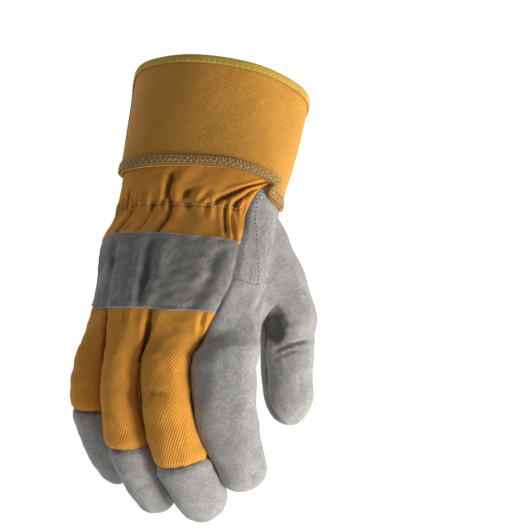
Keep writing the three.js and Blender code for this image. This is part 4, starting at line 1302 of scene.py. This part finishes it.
@dataclass
class Cuff:
    """The canvas cuff with its slit, binding and tape, and the patch and label at the wrist."""

    hand: HandForm
    hem: float = 0.575 * HAND_LENGTH
    offset: float = 1.7
    canvas: float = 1.4
    slit: float = 0.012
    corner: float = 15.0
    depth: float = 66.0
    tape_width: float = 5.4
    tape_wall: float = 0.9
    tape_start: float = 0.6
    zigzag_pitch: float = 1.65
    binding_width: float = 3.7
    binding_lip: float = 0.3
    patch_columns: tuple[float, float] = (29.0, 46.0)
    patch_reach: tuple[float, float] = (-0.09, 0.24)
    patch_wall: float = 1.5
    label_columns: tuple[float, float] = (45.0, 47.85)
    label_reach: tuple[float, float] = (-0.36, -0.12)
    label_wall: float = 0.9
    binding_stitch: Stitch = Stitch(3.2, 2.3, 0.24, 0.12)
    tape_stitch: Stitch = Stitch(2.0, 1.55, 0.22, 0.12)
    patch_stitch: Stitch = Stitch(2.6, 1.8, 0.24, 0.15)

    def column(self, column: np.ndarray) -> np.ndarray:
        """Keeps a column off the slit at the little finger's edge."""
        edge = self.slit * BACK_COLUMNS
        return np.clip(column, edge, ALL_COLUMNS - edge)

    def foot(self, column: np.ndarray) -> np.ndarray:
        """The lower edge: along the wrist seam, with a dip at the thumb's edge."""
        return FOOT(column) * HAND_LENGTH

    def top(self, column: np.ndarray) -> np.ndarray:
        """The hem, a straight line rounded off at both corners of the slit by a quarter circle."""
        edge = np.where(column <= BACK_COLUMNS, 0.0, ALL_COLUMNS)
        here = self.hand.point(self.column(column), self.hem)
        away = np.linalg.norm(here - self.hand.point(self.column(edge), self.hem), axis=-1)
        left = np.clip(self.corner - away, 0, self.corner)
        return self.hem - (self.corner - np.sqrt(self.corner ** 2 - left ** 2))

    def point(self, column: np.ndarray, share: np.ndarray, offset: np.ndarray) -> np.ndarray:
        """A point of the cuff, a share of the way from its lower edge to its hem."""
        place = self.column(column)
        y = lerp(self.foot(column), self.top(column), share)
        return self.hand.point(place, y) + self.hand.normal(place, y) * np.asarray(offset)[..., None]

    def sway(self, column: np.ndarray, share: np.ndarray) -> np.ndarray:
        """Long soft waves of the stiff canvas, in mm."""
        wave = np.sin(column * 0.55 + 0.8) * 0.5 + np.sin(column * 1.1 + share * 2.0) * 0.3
        return wave * smooth(share * 1.3) * 0.9

    def build(self, finishes: Finishes) -> None:
        """Builds the canvas, then what is sewn to it."""
        column, share = np.meshgrid(np.linspace(0, ALL_COLUMNS, 289), np.linspace(1, 0, 64))
        points = self.point(column, share, self.offset + self.sway(column, share))
        y = lerp(self.foot(column), self.top(column), share)
        uv = np.stack([column * COLUMN_MM, -y], axis=-1)
        # Darkened with painted shade just below the binding, and along a line 8 mm above the lower edge
        near = (1 - share) * self.depth - self.binding_width
        crease = 0.5 * bell(near, 1.2) + 0.35 * bell(share * self.depth - 8.0, 1.0)
        shell = grid_shell(points, uv, crease, self.canvas / 2, self.canvas / 2)
        piece = make_piece("cuff_canvas", [shell], finishes["cuff_canvas"], ("cuff",))
        self.build_binding(finishes)
        self.build_tape(finishes)
        self.build_patch(finishes)
        self.build_label(finishes)

    def path(self) -> tuple[np.ndarray, np.ndarray]:
        """The columns and shares of the bound edge: up the slit, round the hem and down the slit."""
        side = np.linspace(0.2, 1, 26, endpoint=False)
        round_hem = np.concatenate([np.linspace(0, 3, 40, endpoint=False),
                                    np.linspace(3, ALL_COLUMNS - 3, 240, endpoint=False),
                                    np.linspace(ALL_COLUMNS - 3, ALL_COLUMNS, 40)])
        columns = np.concatenate([0 * side, round_hem, ALL_COLUMNS + 0 * side])
        return columns, np.concatenate([side, np.ones(len(round_hem)), side[::-1]])

    def build_binding(self, finishes: Finishes) -> None:
        """The binding: a folded tape's section carried along the bound edge, with a row of stitches."""
        column, share = self.path()
        points = self.point(column, share, self.offset + self.sway(column, share))
        ahead = unit(np.gradient(points, axis=0))
        y = lerp(self.foot(column), self.top(column), share)
        out = self.hand.normal(self.column(column), y)
        out = unit(out - ahead * np.sum(out * ahead, axis=-1, keepdims=True))
        inward = unit(np.cross(ahead, out))
        half = self.canvas / 2 + 0.25
        width = self.binding_width
        lip = self.binding_lip
        turn = np.linspace(-np.pi / 2, np.pi / 2, 11)[1:-1]
        flank = np.array([width, width - lip, width * 0.72, width * 0.4, 0.4])
        swell = half + np.array([0.0, 0.55, 0.5, 0.75, 0.65])
        deep = np.concatenate([flank, -1.1 * np.cos(turn), flank[::-1],
                               [width - lip, lip, lip, width - lip]])
        high = np.concatenate([swell, -np.sin(turn) * (half + 0.5), -swell[::-1],
                               [0.15 - half, 0.15 - half, half - 0.15, half - 0.15]])
        ring = points[:, None, :] + inward[:, None, :] * deep[:, None] + out[:, None, :] * high[:, None]
        n, k = ring.shape[:2]
        number = np.arange(n * k).reshape(n, k)
        triangles = cells(np.concatenate([number, number[:, :1]], axis=1))
        section = np.stack([deep, high], axis=-1)
        uv = np.broadcast_arrays(lengths_along(points)[:, None], lengths_along(section)[None, :])
        uv = np.stack(uv, axis=-1).reshape(-1, 2)
        fan = np.stack([np.zeros(k - 2, dtype=int), np.arange(1, k - 1), np.arange(2, k)], 1)
        caps = [fan, fan[:, ::-1] + (n - 1) * k]
        shell = Shell(ring.reshape(-1, 3), np.concatenate([triangles, *caps]), uv,
                      np.zeros(n * k), np.zeros((0, 2), dtype=np.int64))
        make_piece("cuff_binding_tape", [shell], finishes["yellow_binding"],
                   ("cuff_binding",))
        inset = points + inward * (width * 0.72) + out * (half + 0.5)
        stitches = thread(inset[8:-8], out[8:-8], self.binding_stitch)
        make_piece("binding_stitches", [stitches], finishes["yellow_thread"])

    def tape_place(self, column: np.ndarray, share: np.ndarray,
                   height: np.ndarray) -> tuple[np.ndarray, np.ndarray]:
        """A point of the tape, laid square to the cuff's lower edge, and the outward direction.

        Args:
            column: columns around the hand.
            share: 0 at the tape's lower edge, 1 at its upper edge.
            height: height over the skin in mm.
        Returns:
            Points in mm and outward directions.
        """
        step = 0.25
        slope = (self.foot(column + step) - self.foot(column - step)) / (2 * step * COLUMN_MM)
        reach = (0.2 + self.tape_width * share) / np.sqrt(1 + slope ** 2)
        place = np.clip(column - slope * reach / COLUMN_MM, 0.3, ALL_COLUMNS)
        y = self.foot(column) + reach
        out = self.hand.normal(place, y)
        return self.hand.point(place, y) + out * np.asarray(height)[..., None], out

    def build_tape(self, finishes: Finishes) -> None:
        """The tape over the cuff's lower edge on the back, with straight and zigzag stitches."""
        start = self.tape_start
        column, share = np.meshgrid(np.linspace(start, BACK_COLUMNS, 200), np.linspace(1, 0, 14))
        above = self.offset + self.canvas / 2 + 0.15
        crown = 0.35 * np.sin(np.pi * share) - 0.8 * (1 - smooth((column - start) / 1.2))
        height = above + crown + 0.1 * np.sin(column * 9.0) * np.sin(np.pi * share)
        points, _ = self.tape_place(column, share, height)
        uv = np.stack([column * COLUMN_MM, share * self.tape_width], axis=-1)
        # Painted shade along both edges of the tape, where it curves down to the canvas
        shell = grid_shell(points, uv, 0.5 - 0.5 * np.sin(np.pi * share), self.tape_wall, 0.0)
        make_piece("wrist_tape", [shell], finishes["tan_tape"], ("cuff_tape",))
        line = np.linspace(start + 0.2, BACK_COLUMNS - 0.1, 1600)
        flat = np.full(line.shape, 1.0)
        rows = []
        for place in (0.13, 0.87):
            path, out = self.tape_place(line, flat * place, flat * (above + 1.0))
            rows.append(thread(path, out, self.tape_stitch))
        length = lengths_along(self.hand.point(line, self.foot(line)))
        count = int(length[-1] / self.zigzag_pitch)
        swing = np.arcsin(np.sin(np.pi * (length / length[-1] * count + 0.5))) / np.pi
        path, out = self.tape_place(line, 0.5 + 0.44 * swing, flat * (above + 1.15))
        pitch = length_of(path) / (count + 0.5)
        rows.append(thread(path, out, Stitch(pitch, pitch * 0.97, 0.26, 0.05)))
        make_piece("tape_stitches", rows, finishes["tan_thread"])

    def build_patch(self, finishes: Finishes) -> None:
        """The leather patch on the wrist's inner side, from the palm up over the cuff."""
        low, high = self.patch_reach
        column, share = np.meshgrid(np.linspace(*self.patch_columns, 110), np.linspace(1, 0, 40))
        y = lerp(low, high, share) * HAND_LENGTH
        over = self.offset + self.canvas / 2 + 0.2
        rise = lerp(0.15, over, smooth(share / 0.16))
        base = self.hand.point(column, y)
        height = rise + 0.22 * waves(base, 15.0, 51)
        points = base + self.hand.normal(column, y) * height[..., None]
        uv = np.stack([column * COLUMN_MM, -y], axis=-1)
        shell = grid_shell(points, uv, np.zeros(column.shape), self.patch_wall, 0.0)
        make_piece("wrist_patch_leather", [shell], finishes["grey_leather"],
                   ("wrist_patch",))
        rows = []
        line = np.linspace(self.patch_columns[0] + 0.4, self.patch_columns[1] - 0.4, 200)
        for place in (0.16, 0.93):
            y = np.full(line.shape, lerp(low, high, place) * HAND_LENGTH)
            out = self.hand.normal(line, y)
            path = self.hand.point(line, y) + out * (over + self.patch_wall)
            rows.append(thread(path, out, self.patch_stitch))
        make_piece("patch_stitches", rows, finishes["grey_thread"])

    def build_label(self, finishes: Finishes) -> None:
        """The bare woven label: a folded tab in the side seam, a little bowed."""
        column, share = np.meshgrid(np.linspace(*self.label_columns, 16), np.linspace(1, 0, 40))
        y = lerp(*self.label_reach, share) * HAND_LENGTH
        height = 0.65 + 0.35 * np.sin(np.pi * share)
        points = self.hand.point(column, y) + self.hand.normal(column, y) * height[..., None]
        uv = np.stack([column * COLUMN_MM, -y], axis=-1)
        shell = grid_shell(points, uv, np.zeros(column.shape), self.label_wall, 0.0)
        make_piece("side_label_tab", [shell], finishes["black_tape"], ("side_label",))


class Wire:
    """A node's output, a number or a vector, with arithmetic that adds the nodes for it."""

    def __init__(self, graph: "Graph", socket: bpy.types.NodeSocket) -> None:
        """Wraps one output socket of a graph's node."""
        self.graph = graph
        self.socket = socket

    @property
    def wide(self) -> bool:
        """True for a vector or a colour."""
        return self.socket.type in {"VECTOR", "RGBA"}

    def combine(self, operation: str, *values: "Wire | float") -> "Wire":
        """Adds one Math node, or one Vector Math node where a value is a vector or a colour."""
        wide = any(isinstance(value, Wire) and value.wide for value in values)
        kind = "ShaderNodeVectorMath" if wide else "ShaderNodeMath"
        sockets = {}
        for number, value in enumerate(values):
            plain = wide and not isinstance(value, (Wire, tuple))
            sockets[number] = (value,) * 3 if plain else value
        return self.graph.node(kind, {"operation": operation}, sockets)

    def __add__(self, other: "Wire | float") -> "Wire":
        """Sum."""
        return self.combine("ADD", self, other)

    def __radd__(self, other: float) -> "Wire":
        """Sum with a number on the left."""
        return self.combine("ADD", other, self)

    def __sub__(self, other: "Wire | float") -> "Wire":
        """Difference."""
        return self.combine("SUBTRACT", self, other)

    def __rsub__(self, other: float) -> "Wire":
        """Difference from a number on the left."""
        return self.combine("SUBTRACT", other, self)

    def __mul__(self, other: "Wire | float") -> "Wire":
        """Product."""
        return self.combine("MULTIPLY", self, other)

    def __rmul__(self, other: float) -> "Wire":
        """Product with a number on the left."""
        return self.combine("MULTIPLY", other, self)

    def __truediv__(self, other: "Wire | float") -> "Wire":
        """Quotient."""
        return self.combine("DIVIDE", self, other)

    def __rtruediv__(self, other: float) -> "Wire":
        """A number on the left divided by this."""
        return self.combine("DIVIDE", other, self)

    def __pow__(self, other: "Wire | float") -> "Wire":
        """Power."""
        return self.combine("POWER", self, other)

    def sine(self) -> "Wire":
        """Sine."""
        return self.combine("SINE", self)

    def band(self, low: float, high: float) -> "Wire":
        """0 below low, 1 above high and a smooth step in between."""
        settings = {"interpolation_type": "SMOOTHSTEP"}
        return self.graph.node("ShaderNodeMapRange", settings, {0: self, 1: low, 2: high})


class Graph:
    """The node tree of one finish."""

    def __init__(self, name: str) -> None:
        """Starts an empty material with a name."""
        self.material = bpy.data.materials.new(name)
        self.material.use_nodes = True
        self.tree = self.material.node_tree
        self.tree.nodes.clear()

    def node(self, kind: str, settings: dict | None = None, sockets: dict | None = None,
             output: int | str = 0) -> Wire:
        """Adds any node.

        Args:
            kind: the node's type.
            settings: its own settings by name.
            sockets: values or links of its inputs by number or name.
            output: number or name of the output that is wanted.
        Returns:
            The wanted output.
        """
        made = self.tree.nodes.new(kind)
        for key, value in (settings or {}).items():
            setattr(made, key, value)
        for key, value in (sockets or {}).items():
            if isinstance(value, Wire):
                self.tree.links.new(value.socket, made.inputs[key])
            else:
                made.inputs[key].default_value = value
        return Wire(self, made.outputs[output])

    def place(self) -> Wire:
        """Object coordinates."""
        return self.node("ShaderNodeTexCoord", output="Object")

    def cloth(self) -> tuple[Wire, Wire]:
        """Cloth coordinates across and along, in metres."""
        uv = self.node("ShaderNodeUVMap", {"uv_map": "cloth"})
        across = self.node("ShaderNodeSeparateXYZ", None, {0: uv}, 0)
        return across, Wire(self, across.socket.node.outputs[1])

    def crease(self) -> Wire:
        """How deep in a fold or seam the surface lies."""
        return self.node("ShaderNodeAttribute", {"attribute_name": "crease"}, output="Fac")

    def noise(self, scale: float, detail: float = 2.0, at: Wire | None = None,
              roughness: float = 0.5) -> Wire:
        """Noise from 0 to 1 with a number of features per metre."""
        sockets = {"Vector": at or self.place(), "Scale": scale, "Detail": detail, "Roughness": roughness}
        return self.node("ShaderNodeTexNoise", None, sockets)

    def mix(self, share: Wire | float, first: Wire | tuple, second: Wire | tuple,
            blend: str = "MIX") -> Wire:
        """Mixes two colours."""
        colours = [value if isinstance(value, Wire) else (*value, 1.0) for value in (first, second)]
        settings = {"data_type": "RGBA", "blend_type": blend}
        return self.node("ShaderNodeMix", settings, {0: share, 6: colours[0], 7: colours[1]}, 2)

    def shade(self, colour: Wire, tone: Wire) -> Wire:
        """Multiplies a colour by a tone."""
        grey = self.node("ShaderNodeCombineXYZ", None, {0: tone, 1: tone, 2: tone})
        return self.mix(1.0, colour, grey, "MULTIPLY")

    def bump(self, height: Wire, depth: float, below: Wire | None = None) -> Wire:
        """A bump of a height from 0 to 1 that is a number of metres deep."""
        sockets = {"Height": height, "Distance": depth, "Strength": 1.0}
        if below is not None:
            sockets["Normal"] = below
        return self.node("ShaderNodeBump", None, sockets)

    def finish(self, colour: Wire, roughness: Wire | float, normal: Wire,
               sheen: float, tint: tuple[float, float, float]) -> bpy.types.Material:
        """Closes the tree with a Principled shader with a constant sheen.

        Args:
            colour: base colour.
            roughness: a number or a wire.
            normal: the last bump.
            sheen: the sheen's weight.
            tint: the sheen's colour.
        Returns:
            The finished material.
        """
        shader = self.node("ShaderNodeBsdfPrincipled", None, {
            "Base Color": colour, "Roughness": roughness, "Normal": normal,
            "Sheen Weight": sheen, "Sheen Roughness": 0.5, "Sheen Tint": (*tint, 1.0),
            "Specular IOR Level": 0.2,
        })
        target = self.tree.nodes.new("ShaderNodeOutputMaterial")
        self.tree.links.new(shader.socket, target.inputs["Surface"])
        return self.material


@dataclass(frozen=True)
class Suede:
    """Split leather: a soft nap with a fine grain, mottling, pinholes and creases darkened with painted
    shade.

    Cut gives the cloth heights of two cut edges, in metres, beside which the leather is paler.
    """

    name: str
    light: tuple[float, float, float]
    dark: tuple[float, float, float]
    fold_shade: tuple[float, float, float]
    mottle: float = 0.5
    grain: float = 1.0
    cut: tuple[float, float] | None = None

    def make(self) -> bpy.types.Material:
        """Builds the finish."""
        g = Graph(self.name)
        place = g.place()
        broad = g.noise(38.0, 4.0, place, 0.6)
        patch = g.noise(170.0, 4.0, place, 0.65)
        fibre = g.noise(900.0, 5.0, place, 0.7)
        nap = g.noise(2600.0, 3.0, place, 0.7)
        warped = place + g.noise(500.0, 1.0, place) * 0.002
        holes = g.node("ShaderNodeTexVoronoi", None, {"Vector": warped, "Scale": 620.0, "Randomness": 1.0})
        pin = 1.0 - holes.band(0.06, 0.2)
        tone = broad.band(0.3, 0.72) * 0.45 + patch.band(0.3, 0.7) * 0.55
        colour = g.mix(tone * self.mottle + (0.5 - self.mottle * 0.5), self.dark, self.light)
        shade = 0.7 + fibre.band(0.36, 0.64) * 0.32 + nap.band(0.36, 0.64) * 0.28 - pin * 0.3
        colour = g.shade(colour, shade)
        # Painted shade in folds, seams and hollows: the colour is mixed towards a dark colour by the crease
        # attribute
        colour = g.mix(g.crease().band(0.06, 1.0) * 0.74, colour, self.fold_shade)
        worn = g.noise(75.0, 3.0, place).band(0.58, 0.8) * patch.band(0.45, 0.62)
        colour = g.mix(worn * 0.2, colour, tuple(min(c * 1.35, 1.0) for c in self.light))
        if self.cut:
            along = g.cloth()[1] + (fibre - 0.5) * 0.0006
            inside = (along - self.cut[0]).band(0.0001, 0.0011) * (self.cut[1] - along).band(0.0001, 0.0011)
            colour = g.mix((1.0 - inside) * 0.6, colour, tuple(min(c * 1.2, 1.0) for c in self.light))
        soft = g.bump(patch, 0.0012 * self.grain)
        rough = g.bump(fibre, 0.0009 * self.grain, soft)
        fine = g.bump(nap - pin * 0.4, 0.00034 * self.grain, rough)
        return g.finish(colour, 0.84 + patch * 0.14, fine, 0.25, (0.95, 0.93, 0.9))


@dataclass(frozen=True)
class Twill:
    """Cotton twill: slanted ribs of yarns, lighter on top as painted highlight and darker between them as
    painted shade, with painted shade in its creases.
    """

    name: str
    rib: tuple[float, float, float]
    between: tuple[float, float, float]
    fold_shade: tuple[float, float, float]
    pitch: float = 0.00118
    slope: float = 1.35
    depth: float = 0.00024
    sheen: float = 0.1
    contrast: float = 1.0
    ribs: float = 1.0

    def make(self) -> bpy.types.Material:
        """Builds the finish."""
        g = Graph(self.name)
        place = g.place()
        across, along = g.cloth()
        drift = (g.noise(120.0, 2.0, place) - 0.5) * 0.0009 + (g.noise(420.0, 2.0, place) - 0.5) * 0.0004
        norm = math.hypot(self.slope, 1.0)
        rib = ((across * self.slope + along) / norm + drift) * (2 * math.pi / self.pitch)
        yarn = ((along * self.slope - across) / norm + drift) * (2 * math.pi / (self.pitch * 0.62))
        phase = yarn + rib * 0.5
        lobe = (rib.sine() * 0.5 + 0.5) ** 0.65
        knots = phase.sine() * 0.5 + 0.5
        streak = g.node("ShaderNodeCombineXYZ", None, {0: across * 260.0, 1: along * 1500.0})
        slub = g.noise(1.0, 3.0, streak, 0.65) * 0.6 + g.noise(1100.0, 3.0, place, 0.6) * 0.4
        height = lobe * (0.72 + knots * 0.28) + slub * 0.5
        broad = g.noise(45.0, 3.0, place, 0.6)
        # Partly painted light: the ribs' lighter tops are painted highlight and the darker colour between
        # them is painted shade; the slubs' unevenness is the yarn's own
        tone = (lobe * 0.55 + knots * 0.12) * self.ribs + slub * 1.5 - 0.75 + 0.5 * (1 - self.ribs) + 0.17
        colour = g.mix(tone * self.contrast + (0.5 - 0.5 * self.contrast), self.between, self.rib)
        fade = 0.84 + broad * 0.22 + g.noise(260.0, 3.0, place) * 0.1
        colour = g.shade(colour, fade)
        # Painted shade in folds, seams and hollows: the colour is mixed towards a dark colour by the crease
        # attribute
        colour = g.mix(g.crease().band(0.08, 1.0) * 0.84, colour, self.fold_shade)
        soft = g.bump(broad, 0.0015)
        weave = g.bump(height, self.depth, soft)
        fuzz = g.bump(g.noise(3200.0, 2.0, place, 0.7), 0.0001, weave)
        return g.finish(colour, 0.86 + slub * 0.12, fuzz, self.sheen, (1.0, 0.86, 0.62))


@dataclass(frozen=True)
class Weave:
    """A plain or ribbed narrow tape: yarns across and along with their own pitches, whose crowns get painted
    highlight and whose gaps and creases get painted shade.
    """

    name: str
    light: tuple[float, float, float]
    dark: tuple[float, float, float]
    fold_shade: tuple[float, float, float]
    across_pitch: float = 0.0009
    along_pitch: float = 0.0009
    depth: float = 0.0002
    roughness: float = 0.8
    sheen: float = 0.06

    def make(self) -> bpy.types.Material:
        """Builds the finish."""
        g = Graph(self.name)
        place = g.place()
        across, along = g.cloth()
        drift = (g.noise(300.0, 2.0, place) - 0.5) * 0.0005
        warp = ((across + drift) * (2 * math.pi / self.across_pitch)).sine()
        weft = ((along + drift) * (2 * math.pi / self.along_pitch)).sine()
        lobe = warp * weft * 0.5 + 0.5
        slub = g.noise(1400.0, 3.0, place, 0.6)
        height = lobe * 0.8 + slub * 0.35
        # Partly painted light: the yarns' raised crowns get painted highlight and the gaps between them
        # painted shade; the slubs' unevenness is the yarn's own
        colour = g.mix(lobe * 0.55 + slub * 0.6 - 0.1, self.dark, self.light)
        fade = 0.86 + g.noise(60.0, 3.0, place, 0.6) * 0.26
        colour = g.shade(colour, fade)
        # Painted shade in folds and seams: the colour is mixed towards a dark colour by the crease attribute
        colour = g.mix(g.crease().band(0.05, 1.0) * 0.6, colour, self.fold_shade)
        soft = g.bump(g.noise(90.0, 3.0, place), 0.0008)
        weave = g.bump(height, self.depth, soft)
        return g.finish(colour, self.roughness, weave, self.sheen, (1.0, 0.9, 0.75))


@dataclass(frozen=True)
class Yarn:
    """Sewing thread: two twisted plies with a faint fuzz, painted highlight along the plies and painted
    shade in the groove between them.
    """

    name: str
    light: tuple[float, float, float]
    dark: tuple[float, float, float]

    def make(self) -> bpy.types.Material:
        """Builds the finish."""
        g = Graph(self.name)
        place = g.place()
        length, turn = g.cloth()
        ply = (length * (2 * math.pi / 0.0008) + turn * 1000.0).sine() * 0.5 + 0.5
        fuzz = g.noise(3000.0, 2.0, place, 0.6)
        # Painted highlight on the plies and painted shade between them, along a helix
        colour = g.mix(ply * 0.7 + fuzz * 0.4, self.dark, self.light)
        return g.finish(colour, 0.62 + fuzz * 0.2, g.bump(ply, 0.00012), 0.2, (1.0, 1.0, 1.0))


@dataclass
class Wardrobe:
    """All the finishes by name."""

    finishes: tuple = (
        # The third colour of each leather, twill and tape finish is the painted shade of its folds and seams
        Suede("grey_leather", (0.61, 0.59, 0.562), (0.335, 0.325, 0.31), (0.055, 0.047, 0.04),
              mottle=0.62, grain=1.3),
        Suede("strap_leather", (0.57, 0.54, 0.5), (0.207, 0.196, 0.18), (0.05, 0.045, 0.04),
              mottle=0.8, grain=1.5,
              cut=(-(HandSkin.strap_top * HAND_LENGTH + HandPieces.strap_overlap) * MM,
                   -(HandSkin.strap_end * HAND_LENGTH - HandPieces.strap_overlap) * MM)),
        Twill("orange_twill", (0.88, 0.405, 0.062), (0.56, 0.205, 0.022), (0.08, 0.022, 0.005)),
        Twill("gathered_twill", (0.84, 0.375, 0.058), (0.55, 0.21, 0.025), (0.12, 0.033, 0.008),
              pitch=0.00105, depth=0.00014, contrast=0.8, ribs=0.35),
        Twill("cuff_canvas", (0.7, 0.34, 0.055), (0.44, 0.185, 0.023), (0.12, 0.045, 0.01),
              pitch=0.00105, slope=0.5, depth=0.00012, sheen=0.15, contrast=0.8, ribs=0.25),
        Weave("yellow_binding", (0.74, 0.51, 0.09), (0.45, 0.28, 0.035), (0.2, 0.13, 0.03),
              across_pitch=0.0007, along_pitch=0.0011, depth=0.00016),
        Weave("tan_tape", (0.47, 0.28, 0.095), (0.28, 0.15, 0.045), (0.12, 0.06, 0.02),
              across_pitch=0.0008, along_pitch=0.001, depth=0.00018),
        Weave("black_tape", (0.02, 0.019, 0.018), (0.006, 0.006, 0.006), (0.003, 0.003, 0.003),
              across_pitch=0.0004, along_pitch=0.0006, depth=0.00006, roughness=0.55, sheen=0.1),
        Yarn("dark_thread", (0.21, 0.2, 0.185), (0.1, 0.093, 0.086)),
        Yarn("grey_thread", (0.62, 0.6, 0.57), (0.34, 0.32, 0.3)),
        Yarn("orange_thread", (0.92, 0.66, 0.34), (0.62, 0.35, 0.12)),
        Yarn("yellow_thread", (0.9, 0.66, 0.16), (0.6, 0.38, 0.05)),
        Yarn("tan_thread", (0.85, 0.6, 0.3), (0.55, 0.31, 0.1)),
    )

    def make(self) -> Finishes:
        """Builds every finish."""
        return {finish.name: finish.make() for finish in self.finishes}


@dataclass
class Studio:
    """The floor, the lights and the camera of the picture."""

    azimuth: float = 38.3
    elevation: float = 62.5
    roll: float = 31.8
    distance: float = 0.864
    lens: float = 105.6
    target: tuple[float, float, float] = (-0.01240, -0.00200, 0.03641)
    aim_right: float = 0.0537
    aim_up: float = 0.0144
    floor_glow: float = 0.76
    floor_reach: float = 40.0
    view_reach: float = 120.0
    sky_colour: tuple[float, float, float, float] = (0.95, 0.97, 1.0, 1.0)
    sky_strength: float = 0.3

    def axes(self) -> tuple[np.ndarray, np.ndarray, np.ndarray]:
        """The picture's right, up and backward directions before the camera is aimed at its middle."""
        a, e, r = (math.radians(v) for v in (self.azimuth, self.elevation, self.roll))
        back = np.array([math.sin(a) * math.cos(e), -math.cos(a) * math.cos(e), math.sin(e)])
        right = np.array([math.cos(a), math.sin(a), 0.0])
        up = np.cross(back, right)
        return math.cos(r) * right - math.sin(r) * up, math.sin(r) * right + math.cos(r) * up, back

    def camera(self) -> None:
        """Places the camera as in the photo, without depth of field."""
        right, up, back = self.axes()
        location = np.array(self.target) + self.distance * back
        back = unit(back - self.aim_right * right - self.aim_up * up)
        right = unit(right - np.dot(right, back) * back)
        up = np.cross(back, right)
        data = bpy.data.cameras.new("camera")
        data.lens = self.lens
        data.sensor_width = 36.0
        data.clip_start = 0.05
        data.clip_end = self.view_reach
        view = bpy.data.objects.new("camera", data)
        matrix = np.eye(4)
        matrix[:3, 0] = right
        matrix[:3, 1] = up
        matrix[:3, 2] = back
        matrix[:3, 3] = location
        view.matrix_world = Matrix(matrix.tolist())
        bpy.context.scene.collection.objects.link(view)
        bpy.context.scene.camera = view

    def light(self, name: str, across: float, height: float, toward: float, size: float,
              power: float, colour: tuple[float, float, float]) -> None:
        """An area light placed in the picture's directions and aimed at the glove.

        Args:
            name: the light's name.
            across: metres to the picture's right.
            height: metres up in the picture.
            toward: metres towards the camera.
            size: the light's side in metres.
            power: its power in watts.
            colour: its colour.
        """
        right, up, back = self.axes()
        place = np.array(self.target) + right * across + up * height + back * toward
        data = bpy.data.lights.new(name, "AREA")
        data.shape = "SQUARE"
        data.size = size
        data.energy = power
        data.color = colour
        lamp = bpy.data.objects.new(name, data)
        aim = Vector(place - np.array(self.target)).to_track_quat("Z", "Y")
        lamp.matrix_world = Matrix.Translation(place) @ aim.to_matrix().to_4x4()
        bpy.context.scene.collection.objects.link(lamp)

    def floor(self) -> None:
        """A wide pale floor under the glove."""
        graph = Graph("floor")
        soft = graph.noise(6.0, 2.0)
        colour = graph.mix(soft, (0.86, 0.86, 0.86), (0.9, 0.9, 0.9))
        material = graph.finish(colour, 0.9, graph.bump(graph.noise(900.0), 0.00002), 0.0, (1.0, 1.0, 1.0))
        shader = next(n for n in material.node_tree.nodes if n.type == "BSDF_PRINCIPLED")
        shader.inputs["Emission Color"].default_value = (1.0, 1.0, 1.0, 1.0)
        shader.inputs["Emission Strength"].default_value = self.floor_glow
        reach = self.floor_reach
        mesh = bpy.data.meshes.new("floor")
        corners = [(-reach, -reach, 0), (reach, -reach, 0), (reach, reach, 0), (-reach, reach, 0)]
        mesh.from_pydata(corners, [], [(0, 1, 2, 3)])
        mesh.materials.append(material)
        floor = bpy.data.objects.new("floor", mesh)
        bpy.context.scene.collection.objects.link(floor)

    def build(self) -> None:
        """Sets up world, floor, lights and camera."""
        scene = bpy.context.scene
        scene.view_settings.view_transform = "Standard"
        world = bpy.data.worlds.new("studio")
        world.use_nodes = True
        sky = world.node_tree.nodes["Background"]
        sky.inputs["Color"].default_value = self.sky_colour
        sky.inputs["Strength"].default_value = self.sky_strength
        scene.world = world
        self.floor()
        self.light("key", across=0.98, height=-0.46, toward=0.6, size=0.5, power=20.5,
                   colour=(1.0, 0.98, 0.95))
        self.camera()


def main() -> None:
    """Builds the glove and the studio."""
    logging.basicConfig(level=logging.INFO, format="%(name)s %(message)s")
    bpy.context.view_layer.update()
    finishes = Wardrobe().make()
    hand = HandForm()
    HandPieces(hand, HandSkin(hand)).build(finishes)
    ThumbPieces(ThumbSkin(ThumbForm(hand))).build(finishes)
    Cuff(hand).build(finishes)
    Studio().build()


if __name__ == "__main__":
    main()
